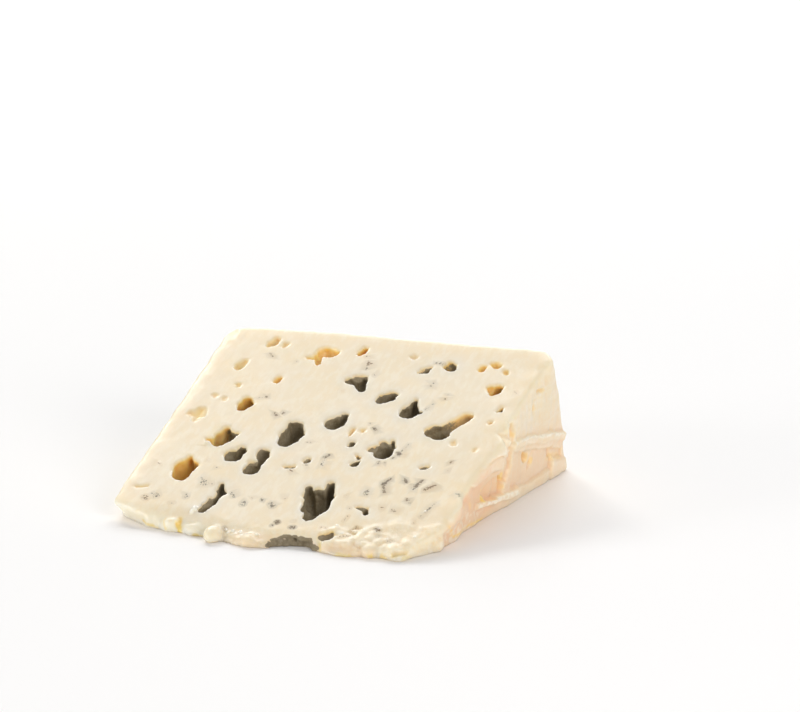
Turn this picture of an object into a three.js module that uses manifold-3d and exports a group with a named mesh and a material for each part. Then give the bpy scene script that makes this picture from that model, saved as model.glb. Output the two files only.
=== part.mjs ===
// A flat-lying wedge cut from a wheel of blue cheese, in millimetres, +Z up.
//
// The wedge is a sector of the wheel. It lies on one of its two cut faces, so +X runs along
// the wheel's height, +Y from the thin crumbled tip towards the rind, and the other cut face
// looks up. Both cut faces carry the open pits of the mould. The two ends along X are the flat
// faces of the wheel, soft and folded where the wet paste has been scraped.

import * as THREE from "three";
import { mergeVertices } from "three/addons/utils/BufferGeometryUtils.js";
import Module from "manifold-3d";

// Driving sizes of the wheel and of the cut
const WHEEL_RADIUS = 97.5;
const WHEEL_HEIGHT = 95.5;
const SECTOR_DEGREES = 22;
const RIM_RADIUS = 5;

// The sag of the soft paste at the foot of the rind
const SAG_OUT = 8;
const SAG_SIDE = 2.2;
const SAG_HEIGHT = 33;

// Lines that bound the wedge, as points. The foot of the crumbled front and the front rim of the
// upper face, each across and out:
const FRONT_FOOT = [
  [-50, 24], [-45.3, 18.4], [-38, 13.4], [-30.6, 9.4], [-19, 7.2], [-12, 6], [-3.4, 4.2],
  [0.7, 4.2], [12.4, 6], [28, 6], [37.2, 7.9], [41, 14.8], [44, 22],
];
const FRONT_RIM = [
  [-50, 17], [-46.9, 14.6], [-42.9, 12.1], [-37.2, 9.8], [-16, 9.7], [-5.7, 8.4], [7, 9.2],
  [15, 7.6], [27, 7.6], [34, 6], [37.4, 7.4], [41, 13], [44, 17],
];

// The foot and the upper edge of the scraped right end, each out and across:
const RIGHT_FOOT = [
  [8, 40], [15, 41.5], [22, 42.8], [31.7, 41.8], [48, 42.8], [64.5, 45.2], [85, 47], [108, 48.6],
];
const RIGHT_EDGE = [
  [8, 44.4], [24, 44.3], [33.5, 44], [43, 44.7], [49, 46], [54.2, 47.9], [58.4, 45.4],
  [61, 46.6], [84.4, 47.8], [92.3, 49.2], [98, 49.2],
];
const FRONT_RIGHT_CORNER = 44;

// The rim of the right end is rounded in by this share of the left one's
const RIGHT_RIM_SHARE = 0.6;

// How far the upper edges of the flat ends are rounded in, and how uneven each surface is
const EDGE_ROUNDING = 1.6;
const EDGE_WEAR = 0.5;
const BACK_EDGE_WEAR = 0.3;
const SURFACE_WAVE = 0.3;
const END_WAVE = 0.3;
const RIND_WAVE = 0.5;
const PIT_ROUGHNESS = 0.12;
const CRUMB_ROUGHNESS = 0.2;

// How far the bent grid reaches below the floor before its underside is trimmed flat
const TRIM = 0.5;

// Steps of the grid that is bent into the wedge, and how much they crowd towards its edges
const STEPS_ACROSS = 24;
const STEPS_ALONG = 23;
const STEPS_UP = 7;
const CROWDING = 0.45;

const CREAM = 0xefe4cd;
const SECTOR = THREE.MathUtils.degToRad(SECTOR_DEGREES);
const HALF_HEIGHT = WHEEL_HEIGHT / 2;

// Folds of the flat ends, each a rounded ridge that runs between two distances from the wheel's
// axis: from, to, height at the start, rise per millimetre, half thickness, how far it stands out
const RIGHT_FOLDS = [
  { from: 33, to: 57, height: 11.4, slope: 0.17, half: 2.4, out: 2.3 },
  { from: 30, to: 62, height: 6.8, slope: -0.12, half: 1.7, out: 1.8 },
  { from: 60, to: 112, height: 19.0, slope: -0.21, half: 2.3, out: 1.3 },
  { from: 91, to: 112, height: 7.6, slope: -0.22, half: 1.8, out: 1.0 },
];
const LEFT_FOLDS = [
  { from: 24, to: 66, height: 7.2, slope: 0.06, half: 2.3, out: 1.3 },
  { from: 52, to: 100, height: 20.5, slope: -0.12, half: 2.6, out: 1.5 },
  { from: 72, to: 112, height: 9.4, slope: -0.08, half: 2.2, out: 1.2 },
];

// Crumbs of paste along the front: place, and half sizes along X, Y and Z
const CRUMBS = [
  { at: [-33.6, 11.2, 1.4], half: [2.8, 1.9, 2.1] },
  { at: [-28.6, 10.2, 2.0], half: [2.5, 1.9, 2.7] },
  { at: [-22.0, 8.8, 1.2], half: [3.0, 2.1, 2.4] },
  { at: [-13.7, 5.6, 1.9], half: [2.9, 3.6, 3.0] },
  { at: [-5.6, 5.7, 0.8], half: [6.6, 4.1, 2.9] },
  { at: [20.6, 6.9, 0.6], half: [7.0, 3.4, 2.0] },
  { at: [25.6, 6.8, 1.4], half: [2.1, 2.4, 1.8] },
  { at: [33.4, 8.2, 0.6], half: [4.4, 2.8, 2.2] },
  { at: [41.2, 16.6, 2.2], half: [3.2, 3.4, 3.0] },
];

// Open pits of the upper cut face: distance across, distance from the wheel's axis, half width,
// half length, depth, and the turn of the long way in degrees
const PITS = [
  { across: -33.9, out: 30.8, wide: 3.1, long: 6.1, deep: 7.5, turn: 4 },
  { across: -28.6, out: 45.6, wide: 3.4, long: 4.8, deep: 7, turn: 14 },
  { across: -22.8, out: 38.3, wide: 2.6, long: 3.0, deep: 5.5, turn: -28 },
  { across: -14.8, out: 40.6, wide: 1.7, long: 2.6, deep: 5, turn: 10 },
  { across: -15.6, out: 33.6, wide: 2.4, long: 3.0, deep: 4.5, turn: -20 },
  { across: -10.3, out: 49.9, wide: 3.2, long: 5.8, deep: 8, turn: 6 },
  { across: -0.4, out: 57.2, wide: 2.8, long: 4.0, deep: 6.5, turn: -8 },
  { across: -28.6, out: 61.1, wide: 2.4, long: 3.3, deep: 6, turn: 0 },
  { across: -40.0, out: 54.4, wide: 2.8, long: 3.4, deep: 4, turn: -24 },
  { across: -37.4, out: 78.8, wide: 1.7, long: 2.9, deep: 3.5, turn: 6 },
  { across: -32.2, out: 91.0, wide: 1.8, long: 2.4, deep: 3, turn: 0 },
  { across: -14.8, out: 87.9, wide: 3.2, long: 2.8, deep: 5, turn: 0 },
  { across: -16.0, out: 83.6, wide: 1.0, long: 2.6, deep: 3, turn: 16 },
  { across: -5.0, out: 89.9, wide: 1.2, long: 2.3, deep: 4, turn: 0 },
  { across: -24.3, out: 73.2, wide: 0.9, long: 2.1, deep: 3, turn: 0 },
  { across: -2.4, out: 76.0, wide: 2.5, long: 2.0, deep: 5, turn: 0 },
  { across: 0.6, out: 74.6, wide: 1.5, long: 3.2, deep: 5, turn: 26 },
  { across: 9.4, out: 69.6, wide: 2.4, long: 3.0, deep: 6, turn: -12 },
  { across: 17.9, out: 64.3, wide: 2.9, long: 3.2, deep: 7, turn: 0 },
  { across: 17.4, out: 68.4, wide: 1.0, long: 2.6, deep: 4, turn: 4 },
  { across: 28.1, out: 56.4, wide: 3.2, long: 3.7, deep: 7, turn: 0 },
  { across: 32.2, out: 61.6, wide: 1.7, long: 4.8, deep: 5.5, turn: -22 },
  { across: 17.0, out: 46.2, wide: 2.8, long: 3.9, deep: 7.5, turn: 4 },
  { across: 7.2, out: 47.6, wide: 1.0, long: 1.3, deep: 2.5, turn: 0 },
  { across: 11.2, out: 39.9, wide: 1.1, long: 1.6, deep: 3, turn: 0 },
  { across: 37.6, out: 77.0, wide: 2.1, long: 2.6, deep: 5, turn: 0 },
  { across: 42.1, out: 68.2, wide: 1.0, long: 1.7, deep: 3, turn: 0 },
  { across: 22.0, out: 86.0, wide: 2.1, long: 2.4, deep: 4.5, turn: 24 },
  { across: 15.4, out: 83.6, wide: 1.8, long: 1.9, deep: 2.8, turn: 0 },
  { across: 31.0, out: 86.2, wide: 0.9, long: 1.9, deep: 3, turn: 0 },
  { across: 34.4, out: 88.7, wide: 1.5, long: 1.7, deep: 2.8, turn: 0 },
  { across: 5.2, out: 24.2, wide: 2.5, long: 5.6, deep: 6, turn: 22 },
  { across: 8.4, out: 21.6, wide: 2.7, long: 6.6, deep: 6.5, turn: 4 },
  { across: 8.0, out: 29.0, wide: 1.0, long: 2.6, deep: 3.5, turn: 10 },
  { across: -20.2, out: 22.4, wide: 0.9, long: 3.6, deep: 4, turn: 8 },
  { across: -22.0, out: 16.0, wide: 1.7, long: 3.1, deep: 3.4, turn: -22 },
  { across: 20.9, out: 20.9, wide: 0.9, long: 1.7, deep: 2.4, turn: 18 },
  { across: 14.9, out: 9.9, wide: 2.4, long: 1.9, deep: 2.2, turn: 0 },
];

// A pit is a ball whose middle lies below the face, so that its mouth is narrower than the ball:
// the depth of the middle as a share of the pit's depth, and the mouth's width as a share
const PIT_SINK = 0.36;
const MOUTH_SHARE = 0.8;

// Half width times half length above which a pit is made with more sides
const LARGE_PIT = 9;

// The wide dark pit that opens through the front edge down to the floor
const FRONT_PIT = { at: [7.0, 4.4, 1.0], half: [6.2, 4.4, 2.9] };

// Pits of the lower cut face and of the rind, which lie out of sight, are spread by rule
const UNDERSIDE_PITS = { count: 15, narrowest: 1.1, widest: 2.9, inset: 9, spacing: 14 };
const RIND_PITS = { count: 7, narrowest: 0.9, widest: 1.8 };
const DRAW_SEED = 4177;

const smooth = THREE.MathUtils.smoothstep;

// A run of numbers between 0 and 1 that is the same each time
function draws(seed) {
  let state = seed;
  return () => {
    state = (state * 1664525 + 1013904223) % 4294967296;
    return state / 4294967296;
  };
}

// The height of a line of points at a value
function line(points, value) {
  const end = points.findIndex(([at]) => at >= value);
  if (end <= 0) {
    return points.at(end)[1];
  }
  const [[low, from], [high, to]] = [points[end - 1], points[end]];
  return from + ((to - from) * (value - low)) / (high - low);
}

// A soft unevenness between about -1 and 1
function unevenness(x, y, z) {
  return (
    Math.sin(0.31 * x + 1.3 * Math.sin(0.17 * y) + 0.4 * z) * 0.5 +
    Math.sin(0.47 * y - 0.23 * x + 0.9) * 0.3 +
    Math.sin(0.83 * z + 0.61 * x - 0.37 * y + 2.1) * 0.2
  );
}

// How far the folds of a flat end stand out at a distance from the tip and a height
function foldRelief(folds, y, z) {
  let out = 0;
  for (const fold of folds) {
    const centre = fold.height + fold.slope * (y - fold.from);
    const along = smooth(y, fold.from - 4, fold.from + 2) * (1 - smooth(y, fold.to - 2, fold.to + 4));
    out += fold.out * along * Math.exp(-(((z - centre) / fold.half) ** 2));
  }
  return out;
}

// How far each flat end is rounded in towards its upper edge
function edgeRounding(y, z) {
  const below = Math.max(0, y * Math.tan(SECTOR) - z);
  return EDGE_ROUNDING * Math.exp(-below / EDGE_ROUNDING);
}

// Where each flat end lies on X
function rightEnd(y, z) {
  const upwards = THREE.MathUtils.clamp(z / (y * Math.tan(SECTOR)), 0, 1);
  const foot = line(RIGHT_FOOT, y);
  const stand = foot + (line(RIGHT_EDGE, y / Math.cos(SECTOR)) - foot) * upwards;
  return stand + foldRelief(RIGHT_FOLDS, y, z) - edgeRounding(y, z) + END_WAVE * unevenness(z, y, 9);
}

function leftEnd(y, z) {
  const folds = foldRelief(LEFT_FOLDS, y, z) - 0.5 * edgeRounding(y, z);
  return -HALF_HEIGHT - folds + END_WAVE * unevenness(z, y, 31);
}

// How far the crumbled front stands back from the wheel's axis, at a place across and upwards
function frontSetback(across, upwards) {
  const x = THREE.MathUtils.lerp(-HALF_HEIGHT, FRONT_RIGHT_CORNER, across);
  const foot = line(FRONT_FOOT, x);
  return foot + (line(FRONT_RIM, x) - foot) * smooth(upwards, 0.1, 1);
}

// Even steps that crowd together near both ends
function crowded(t) {
  return t - (CROWDING * Math.sin(2 * Math.PI * t)) / (2 * Math.PI);
}

// How much the rim between rind and flat end is rounded at a distance from the wheel's axis
function rimInset(r) {
  const into = Math.max(0, r - (WHEEL_RADIUS - RIM_RADIUS));
  return RIM_RADIUS - Math.sqrt(Math.max(0, RIM_RADIUS ** 2 - into ** 2));
}

// A point of the wedge from its place across, outwards and upwards in the bent grid, each 0 to 1
function wedgePoint(across, outwards, upwards) {
  const turn = SECTOR * upwards;
  const start = frontSetback(across, upwards);
  const r = start + (WHEEL_RADIUS - start) * outwards;
  const low = Math.max(0, 1 - (r * Math.sin(turn)) / SAG_HEIGHT);
  const sag = smooth(r, 62, WHEEL_RADIUS) * low;
  const y = r * Math.cos(turn) + SAG_OUT * sag;
  const z = r * Math.sin(turn);
  const inset = rimInset(r);
  const left = leftEnd(y, z) + inset - SAG_SIDE * sag;
  const right = rightEnd(y, z) - RIGHT_RIM_SHARE * inset;
  const x = left + (right - left) * across;
  const wave = SURFACE_WAVE * unevenness(0.6 * x, 0.6 * y, 0);
  const face = upwards > 0.999 ? wave - edgeWear(across, outwards) : 0;
  const rind = outwards > 0.999 ? RIND_WAVE * unevenness(x, 2 * z, 5) : 0;
  const cutOff = upwards < 0.001 ? -TRIM : 0;
  return [x, y + rind, z + face + cutOff];
}

// How much the rims of the upper face are worn down
function edgeWear(across, outwards) {
  const side = Math.min(across, 1 - across) < 0.001 ? EDGE_WEAR : 0;
  const back = outwards > 0.999 ? BACK_EDGE_WEAR : 0;
  return side + back;
}

// A closed geometry of position alone, turned into a solid
let ManifoldSolid;
let ManifoldMesh;

function solidOf(geometry) {
  geometry.deleteAttribute("normal");
  geometry.deleteAttribute("uv");
  const merged = mergeVertices(geometry, 1e-4);
  return new ManifoldSolid(
    new ManifoldMesh({
      numProp: 3,
      vertProperties: new Float32Array(merged.attributes.position.array),
      triVerts: new Uint32Array(merged.index.array),
    }),
  );
}

function geometryOf(solid) {
  const mesh = solid.getMesh();
  const geometry = new THREE.BufferGeometry();
  geometry.setAttribute("position", new THREE.BufferAttribute(new Float32Array(mesh.vertProperties), 3));
  geometry.setIndex(new THREE.BufferAttribute(new Uint32Array(mesh.triVerts), 1));
  return geometry;
}

// The bent grid of the whole wedge
function wedgeBody() {
  const geometry = new THREE.BoxGeometry(1, 1, 1, STEPS_ACROSS, STEPS_ALONG, STEPS_UP);
  const position = geometry.attributes.position;
  for (let i = 0; i < position.count; i++) {
    const across = crowded(position.getX(i) + 0.5);
    const outwards = crowded(position.getY(i) + 0.5);
    position.setXYZ(i, ...wedgePoint(across, outwards, position.getZ(i) + 0.5));
  }
  return solidOf(geometry);
}

// A lump or pit: a ball with few sides, made uneven, stretched, turned and set in place
function unevenBall(half, sides, roughness, phase) {
  const geometry = new THREE.IcosahedronGeometry(1, sides);
  const position = geometry.attributes.position;
  for (let i = 0; i < position.count; i++) {
    const [a, b, c] = [position.getX(i), position.getY(i), position.getZ(i)];
    const reach = 1 + roughness * Math.sin(3.1 * a + phase) * Math.cos(2.7 * b - 1.7 * c + 2 * phase);
    position.setXYZ(i, a * reach * half[0], b * reach * half[1], c * reach * half[2]);
  }
  return geometry;
}

function crumb({ at, half }, index) {
  const geometry = unevenBall(half, 1, CRUMB_ROUGHNESS, index);
  geometry.translate(...at);
  return solidOf(geometry);
}

// A pit of the upper cut face, its depth along the face's normal
function pit({ across, out, wide, long, deep, turn }, index) {
  const sides = wide * long > LARGE_PIT ? 2 : 1;
  const half = [wide / MOUTH_SHARE, long / MOUTH_SHARE, deep * (1 - PIT_SINK)];
  const geometry = unevenBall(half, sides, PIT_ROUGHNESS, 1.9 * index);
  geometry.rotateZ(THREE.MathUtils.degToRad(turn));
  geometry.translate(0, 0, -deep * PIT_SINK);
  geometry.rotateX(SECTOR);
  geometry.translate(across, out * Math.cos(SECTOR), out * Math.sin(SECTOR));
  return solidOf(geometry);
}

// Pits of the hidden faces, spread so that none touches another
function hiddenPits() {
  const draw = draws(DRAW_SEED);
  const solids = [];
  const places = [];
  const { count, narrowest, widest, inset, spacing } = UNDERSIDE_PITS;
  for (let tries = 0; places.length < count && tries < 400; tries++) {
    const x = (draw() - 0.5) * (WHEEL_HEIGHT - 2 * inset);
    const y = inset + 12 + draw() * (WHEEL_RADIUS - 2 * inset - 12);
    if (places.some(([px, py]) => Math.hypot(px - x, py - y) < spacing)) {
      continue;
    }
    places.push([x, y]);
    const wide = narrowest + (widest - narrowest) * draw() ** 2;
    const tall = Math.min(wide * (0.9 + 0.5 * draw()), 0.16 * y);
    const geometry = unevenBall([wide, wide * (1 + 0.8 * draw()), tall], 1, PIT_ROUGHNESS, places.length);
    geometry.rotateZ(draw() - 0.5);
    geometry.translate(x, y, 0);
    solids.push(solidOf(geometry));
  }
  for (let i = 0; i < RIND_PITS.count; i++) {
    const x = ((i + 0.3 + 0.4 * draw()) / RIND_PITS.count - 0.5) * (WHEEL_HEIGHT - 4 * RIM_RADIUS);
    const wide = RIND_PITS.narrowest + (RIND_PITS.widest - RIND_PITS.narrowest) * draw();
    const geometry = unevenBall([wide * 1.5, 2.2, wide], 1, PIT_ROUGHNESS, i);
    const turn = SECTOR * (0.3 + 0.45 * draw());
    const sag = SAG_OUT * Math.max(0, 1 - (WHEEL_RADIUS * Math.sin(turn)) / SAG_HEIGHT);
    geometry.translate(x, WHEEL_RADIUS * Math.cos(turn) + sag, WHEEL_RADIUS * Math.sin(turn));
    solids.push(solidOf(geometry));
  }
  return solids;
}

// The wedge with its crumbs joined, its pits cut and its underside trimmed flat
function wedge() {
  let solid = wedgeBody();
  for (const lump of CRUMBS.map(crumb)) {
    solid = solid.add(lump);
  }
  const frontPit = unevenBall(FRONT_PIT.half, 2, PIT_ROUGHNESS, 0.7);
  frontPit.translate(...FRONT_PIT.at);
  for (const hollow of [solidOf(frontPit), ...PITS.map(pit), ...hiddenPits()]) {
    solid = solid.subtract(hollow);
  }
  const aboveFloor = new THREE.BoxGeometry(3 * WHEEL_HEIGHT, 3 * WHEEL_RADIUS, WHEEL_RADIUS);
  aboveFloor.translate(0, 0, WHEEL_RADIUS / 2);
  return geometryOf(solid.intersect(solidOf(aboveFloor)));
}

const wasm = await Module();
wasm.setup();
ManifoldSolid = wasm.Manifold;
ManifoldMesh = wasm.Mesh;

const geometry = wedge();
geometry.computeBoundingBox();
const box = geometry.boundingBox;
geometry.translate(-(box.min.x + box.max.x) / 2, -(box.min.y + box.max.y) / 2, -box.min.z);
geometry.computeVertexNormals();

const cheese = new THREE.Mesh(
  geometry,
  new THREE.MeshStandardMaterial({ color: CREAM, roughness: 0.5, metalness: 0 }),
);
cheese.name = "roquefort_wedge";

const group = new THREE.Group();
group.add(cheese);

export default group;
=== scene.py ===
import math

import bpy
import numpy as np
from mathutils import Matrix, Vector


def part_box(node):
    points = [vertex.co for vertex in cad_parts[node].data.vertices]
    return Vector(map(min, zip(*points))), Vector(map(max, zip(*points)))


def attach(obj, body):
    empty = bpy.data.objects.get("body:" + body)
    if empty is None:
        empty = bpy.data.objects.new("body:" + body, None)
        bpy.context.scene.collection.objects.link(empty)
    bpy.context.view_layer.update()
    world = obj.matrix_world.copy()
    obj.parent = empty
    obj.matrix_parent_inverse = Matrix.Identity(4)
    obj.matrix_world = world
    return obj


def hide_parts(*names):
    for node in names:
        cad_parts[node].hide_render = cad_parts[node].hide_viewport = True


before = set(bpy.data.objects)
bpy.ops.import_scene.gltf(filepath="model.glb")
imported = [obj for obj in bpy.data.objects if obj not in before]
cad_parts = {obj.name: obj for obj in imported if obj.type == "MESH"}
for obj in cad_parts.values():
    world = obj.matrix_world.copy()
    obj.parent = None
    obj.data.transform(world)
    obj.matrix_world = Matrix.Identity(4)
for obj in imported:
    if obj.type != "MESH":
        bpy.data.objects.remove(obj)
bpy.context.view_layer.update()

# The wedge is sculpted in millimetres in the wheel's own frame: X across the wheel's height,
# Y outwards from the wheel's axis, Z up from the floor. Then it is moved to the frame's place.
MM = 0.001
NODE = "roquefort_wedge"

# Sizes of the wheel and of the cut
WHEEL_RADIUS = 97.5
HALF_HEIGHT = 47.75
SECTOR = math.radians(22)
SIN = math.sin(SECTOR)
COS = math.cos(SECTOR)
TIP_FROM_AXIS = 1.81
LEFT_OF_AXIS = 50.45

# The sag at the foot of the rind
SAG_OUT = 8.0
SAG_SIDE = 2.2
SAG_HEIGHT = 33.0

# Lines that bound the wedge. The foot of the front and the front rim of the cut face: across, out.
# The foot and the upper edge of the right end: out, across.
FRONT_FOOT = (
    (-50, 20), (-44.6, 16), (-39.7, 13.3), (-35.6, 10.7), (-30, 8.9), (-19, 7.2), (-12, 5.6), (-3.4, 4),
    (0.7, 4.2), (12.4, 6), (28, 6.2), (33, 6), (36.8, 8), (38.6, 10.4), (40.2, 13.2),
    (41.6, 17.6), (42.4, 24), (50, 44),
)
FRONT_RIM = (
    (-50, 15), (-47.6, 13.3), (-42.9, 12.1), (-37.2, 9.8), (-26.6, 9.8), (-16, 9.7), (-5.7, 8.4), (7, 9.2),
    (11.6, 8.4), (15, 7.6), (21.4, 8.4), (27, 7.6), (30, 6), (34, 6), (37.4, 7.4), (41, 13), (44, 17), (50, 28),
)
RIGHT_FOOT = ((8, 40), (15, 41.5), (22, 42.8), (31.7, 41.8), (48, 42.8), (64.5, 45.2), (85, 47), (108, 48.6))
RIGHT_EDGE = (
    (8, 44.4), (15, 44.6), (17.5, 43.6), (24, 44.3), (29.4, 44.6), (33.5, 44), (43, 44.7), (49, 46),
    (54.2, 47.9), (57, 46.4), (58.4, 44.9), (61, 46.6), (73, 47), (84.4, 47.7), (92.3, 49.2), (98, 49.2),
)

# The grid that the surface is worked out on, and how far its parts reach
VOXEL = 0.35
GRID_LOW = (-52.5, 0.5, -1.2)
GRID_HIGH = (53.0, 108.0, 38.5)
MOST_TRIANGLES = 190000

# Raised and sunken patches of the right end, each an outline of out and height, then how far it
# stands out and how softly it ends. All of them are deepened by one factor.
RIGHT_DEPTH = 1.2
PATCH_EDGE = 0.75
RIGHT_PATCHES = (
    (((14, 8.6), (24, 11.2), (31, 13.3), (34, 14.2), (41.4, 15.6), (46, 17.2), (56, 17.4), (56.8, 19), (54.7, 20.5),
      (50, 22), (30, 16)), 0.8, 0.5),
    (((33.5, 13.8), (41, 15.2), (46, 16.8), (56.6, 17.2), (56.6, 15), (54, 13.8), (45.4, 13.2), (38.4, 11.9),
      (35.5, 11.6)), 0.6, 0.35),
    (((41.9, 9.2), (43.6, 9.8), (46, 10.8), (49.4, 11.9), (57.3, 10.9), (58.4, 8.6), (57.3, 4.8), (50, 5.2),
      (45.1, 5.9)), -1.5, 0.4),
    (((56.8, 15), (60.8, 15.6), (60.8, 12), (59.2, 7.6), (58, 7.8), (56.6, 10.8), (58, 13)), -1, 0.6),
    (((39.5, 6.8), (45, 6.1), (50, 5.2), (55.8, 4.7), (61.7, 4.5), (68, 3.4), (67, 1.9), (55, 3.2), (45, 4.3),
      (40, 5)), 0.8, 0.45),
    (((12, 7), (22, 8.4), (32, 8.2), (33, 5.6), (22, 5.2), (14, 5)), 0.4, 1),
    (((57, 24), (59.4, 25.5), (63, 20.2), (62, 17.6), (60.2, 15.8), (57.2, 17), (58, 19.5)), -1.2, 0.7),
    (((59.5, 18.2), (66.2, 17.6), (72.3, 17.2), (79.5, 15.9), (87.2, 14.3), (97.3, 12.4), (108, 9.6), (108, 7.4),
      (97.7, 9.9), (85.1, 12.3), (75.2, 14.2), (67.9, 15.1), (61.5, 15.8)), 0.55, 0.6),
    (((60, 18), (72.3, 17.2), (87.2, 14.3), (106, 10), (106, 9.3), (87.2, 13.5), (72.3, 16.4), (60, 17.2)), 0.3, 0.35),
    (((63, 14.6), (70, 13.4), (80, 11.6), (91, 9.4), (91, 3.4), (76, 3), (63, 4.6)), -0.8, 0.5),
    (((88.3, 9.6), (98.2, 7.4), (98.5, 5), (89.5, 7)), -0.6, 0.3),
    (((91, 5.2), (108, 3.4), (108, 0), (91, 0)), 0.5, 0.6),
)
# Pits of the right end: out, height, half length, half height, turn in degrees, depth
RIGHT_PITS = (
    (73, 10.9, 2.2, 1.4, -35, 2.4),
    (77.2, 9.2, 1.2, 2.9, -38, 1.4),
    (76.3, 24.4, 0.9, 1.9, -14, 0.7),
    (79.8, 27.9, 2.6, 0.8, -4, 0.8),
    (60.5, 21.9, 0.9, 3, 32, 1.1),
)
# Low steps of the upper cut face: an outline of across and out, then stand and softness
TOP_PATCHES = (
    (((12.6, 9.2), (13.4, 11), (16.4, 11.6), (18.4, 10.2), (19.6, 12.4), (20.8, 15.2), (22.6, 14.6), (21.6, 11),
      (23.6, 9.6), (18.4, 9.4)), -0.6, 0.4),
    (((23.5, 17), (27, 16), (31.5, 17.6), (36, 16.6), (34.5, 14.4), (28.4, 13.6), (24, 15)), 0.1, 0.7),
    (((26, 9.4), (30, 10.8), (35, 10.4), (39, 12.4), (41, 9), (34, 7.4), (27, 8)), -0.12, 0.9),
)
LEFT_PATCHES = (
    (((24, 8), (40, 9.6), (66, 11), (66, 8.2), (40, 6.2), (24, 5.2)), 1, 2.2),
    (((52, 20), (70, 20.6), (100, 17.2), (100, 12.8), (76, 15.2), (52, 17)), 1.1, 2),
    (((70, 10.4), (88, 9.6), (112, 8), (112, 4.6), (88, 6.2), (70, 7)), 0.9, 2),
)

# Lumps of paste along the front: place, half sizes, how rough
CRUMBS = (
    ((-5.6, 6.6, 0.5), (6.4, 3.7, 2.2), 0.35),
    ((-15.2, 6.1, 1.5), (2.3, 3.5, 2.2), 0.1),
    ((-28.9, 9.7, 1.6), (2.4, 1.5, 2), 0.4),
    ((-33.6, 11.6, 1), (2.8, 1.4, 1.8), 0.4),
    ((-22.4, 9, 0.8), (2.8, 1.6, 1.9), 0.4),
    ((26.9, 7.1, 1.2), (2.1, 2.4, 1.9), 0.1),
    ((21.2, 4.9, 0.5), (1.2, 0.9, 1), 0.3),
    ((33, 8.4, 0.8), (4, 2.6, 2.2), 0.4),
    ((40.2, 17.2, 2.6), (2.6, 3.4, 3), 0.4),
    ((-31.8, 39.2, 15.9), (0.6, 0.5, 0.5), 0.1),
)
# Drawn-out lobes of the front: both ends, the radius at each, how rough
LOBES = (
    ((15.8, 6.9, 1.5), (20.4, 7.4, 1.9), 1.3, 1.4, 0.35),
    ((21.8, 6.5, 1.6), (23.6, 5.9, 1), 1.1, 1.2, 0.2),
    ((30.4, 7.8, 1.5), (34.8, 7, 0.7), 1, 1.7, 0.4),
)
# Torn-off slabs of the front: an outline of across and out, the height of its top at a place
# out, how steeply the top rises, how rough
SLABS = (
    (((14, 5.6), (13.6, 7.6), (15, 8.9), (18.1, 9.3), (21.2, 9), (24, 8.6), (25, 6.2), (22.2, 4.4), (19.3, 3.9),
      (16.1, 5)), 2.8, 8.5, 0.36, 0.14),
)
# Wet beads and hanging drops: place and radius
BEADS = (
    (-23.7, 13.4, 5.5, 0.85), (-24.2, 12.3, 5, 0.5),
    (-12.3, 7.5, 2.8, 0.42), (-11.5, 6.7, 2, 0.4), (-10.3, 7.1, 2.7, 0.45), (-9.7, 6.2, 1.8, 0.38),
    (-8.1, 6.9, 2.9, 0.4), (-7.3, 6.1, 2.1, 0.42), (-5.9, 6.4, 2.6, 0.38), (-4.7, 5.9, 1.7, 0.4),
    (-12, 6.3, 1, 0.4), (-10.9, 6.6, 1.5, 0.36), (-3.4, 6.5, 2.7, 0.36), (7.9, 6.8, 2.3, 0.6), (7.8, 6.6, 1.7, 0.5),
    (10.3, 7, 2.7, 0.45), (18.4, 10.1, 4.3, 0.4), (13.1, 9, 3.5, 0.45), (27.2, 13, 5.4, 0.35),
    (36.4, 21.3, 8.8, 0.3), (30.6, 9.8, 4.1, 0.3), (37.2, 11.8, 4.9, 0.3), (15.9, 12.9, 5.3, 0.35),
)

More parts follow.
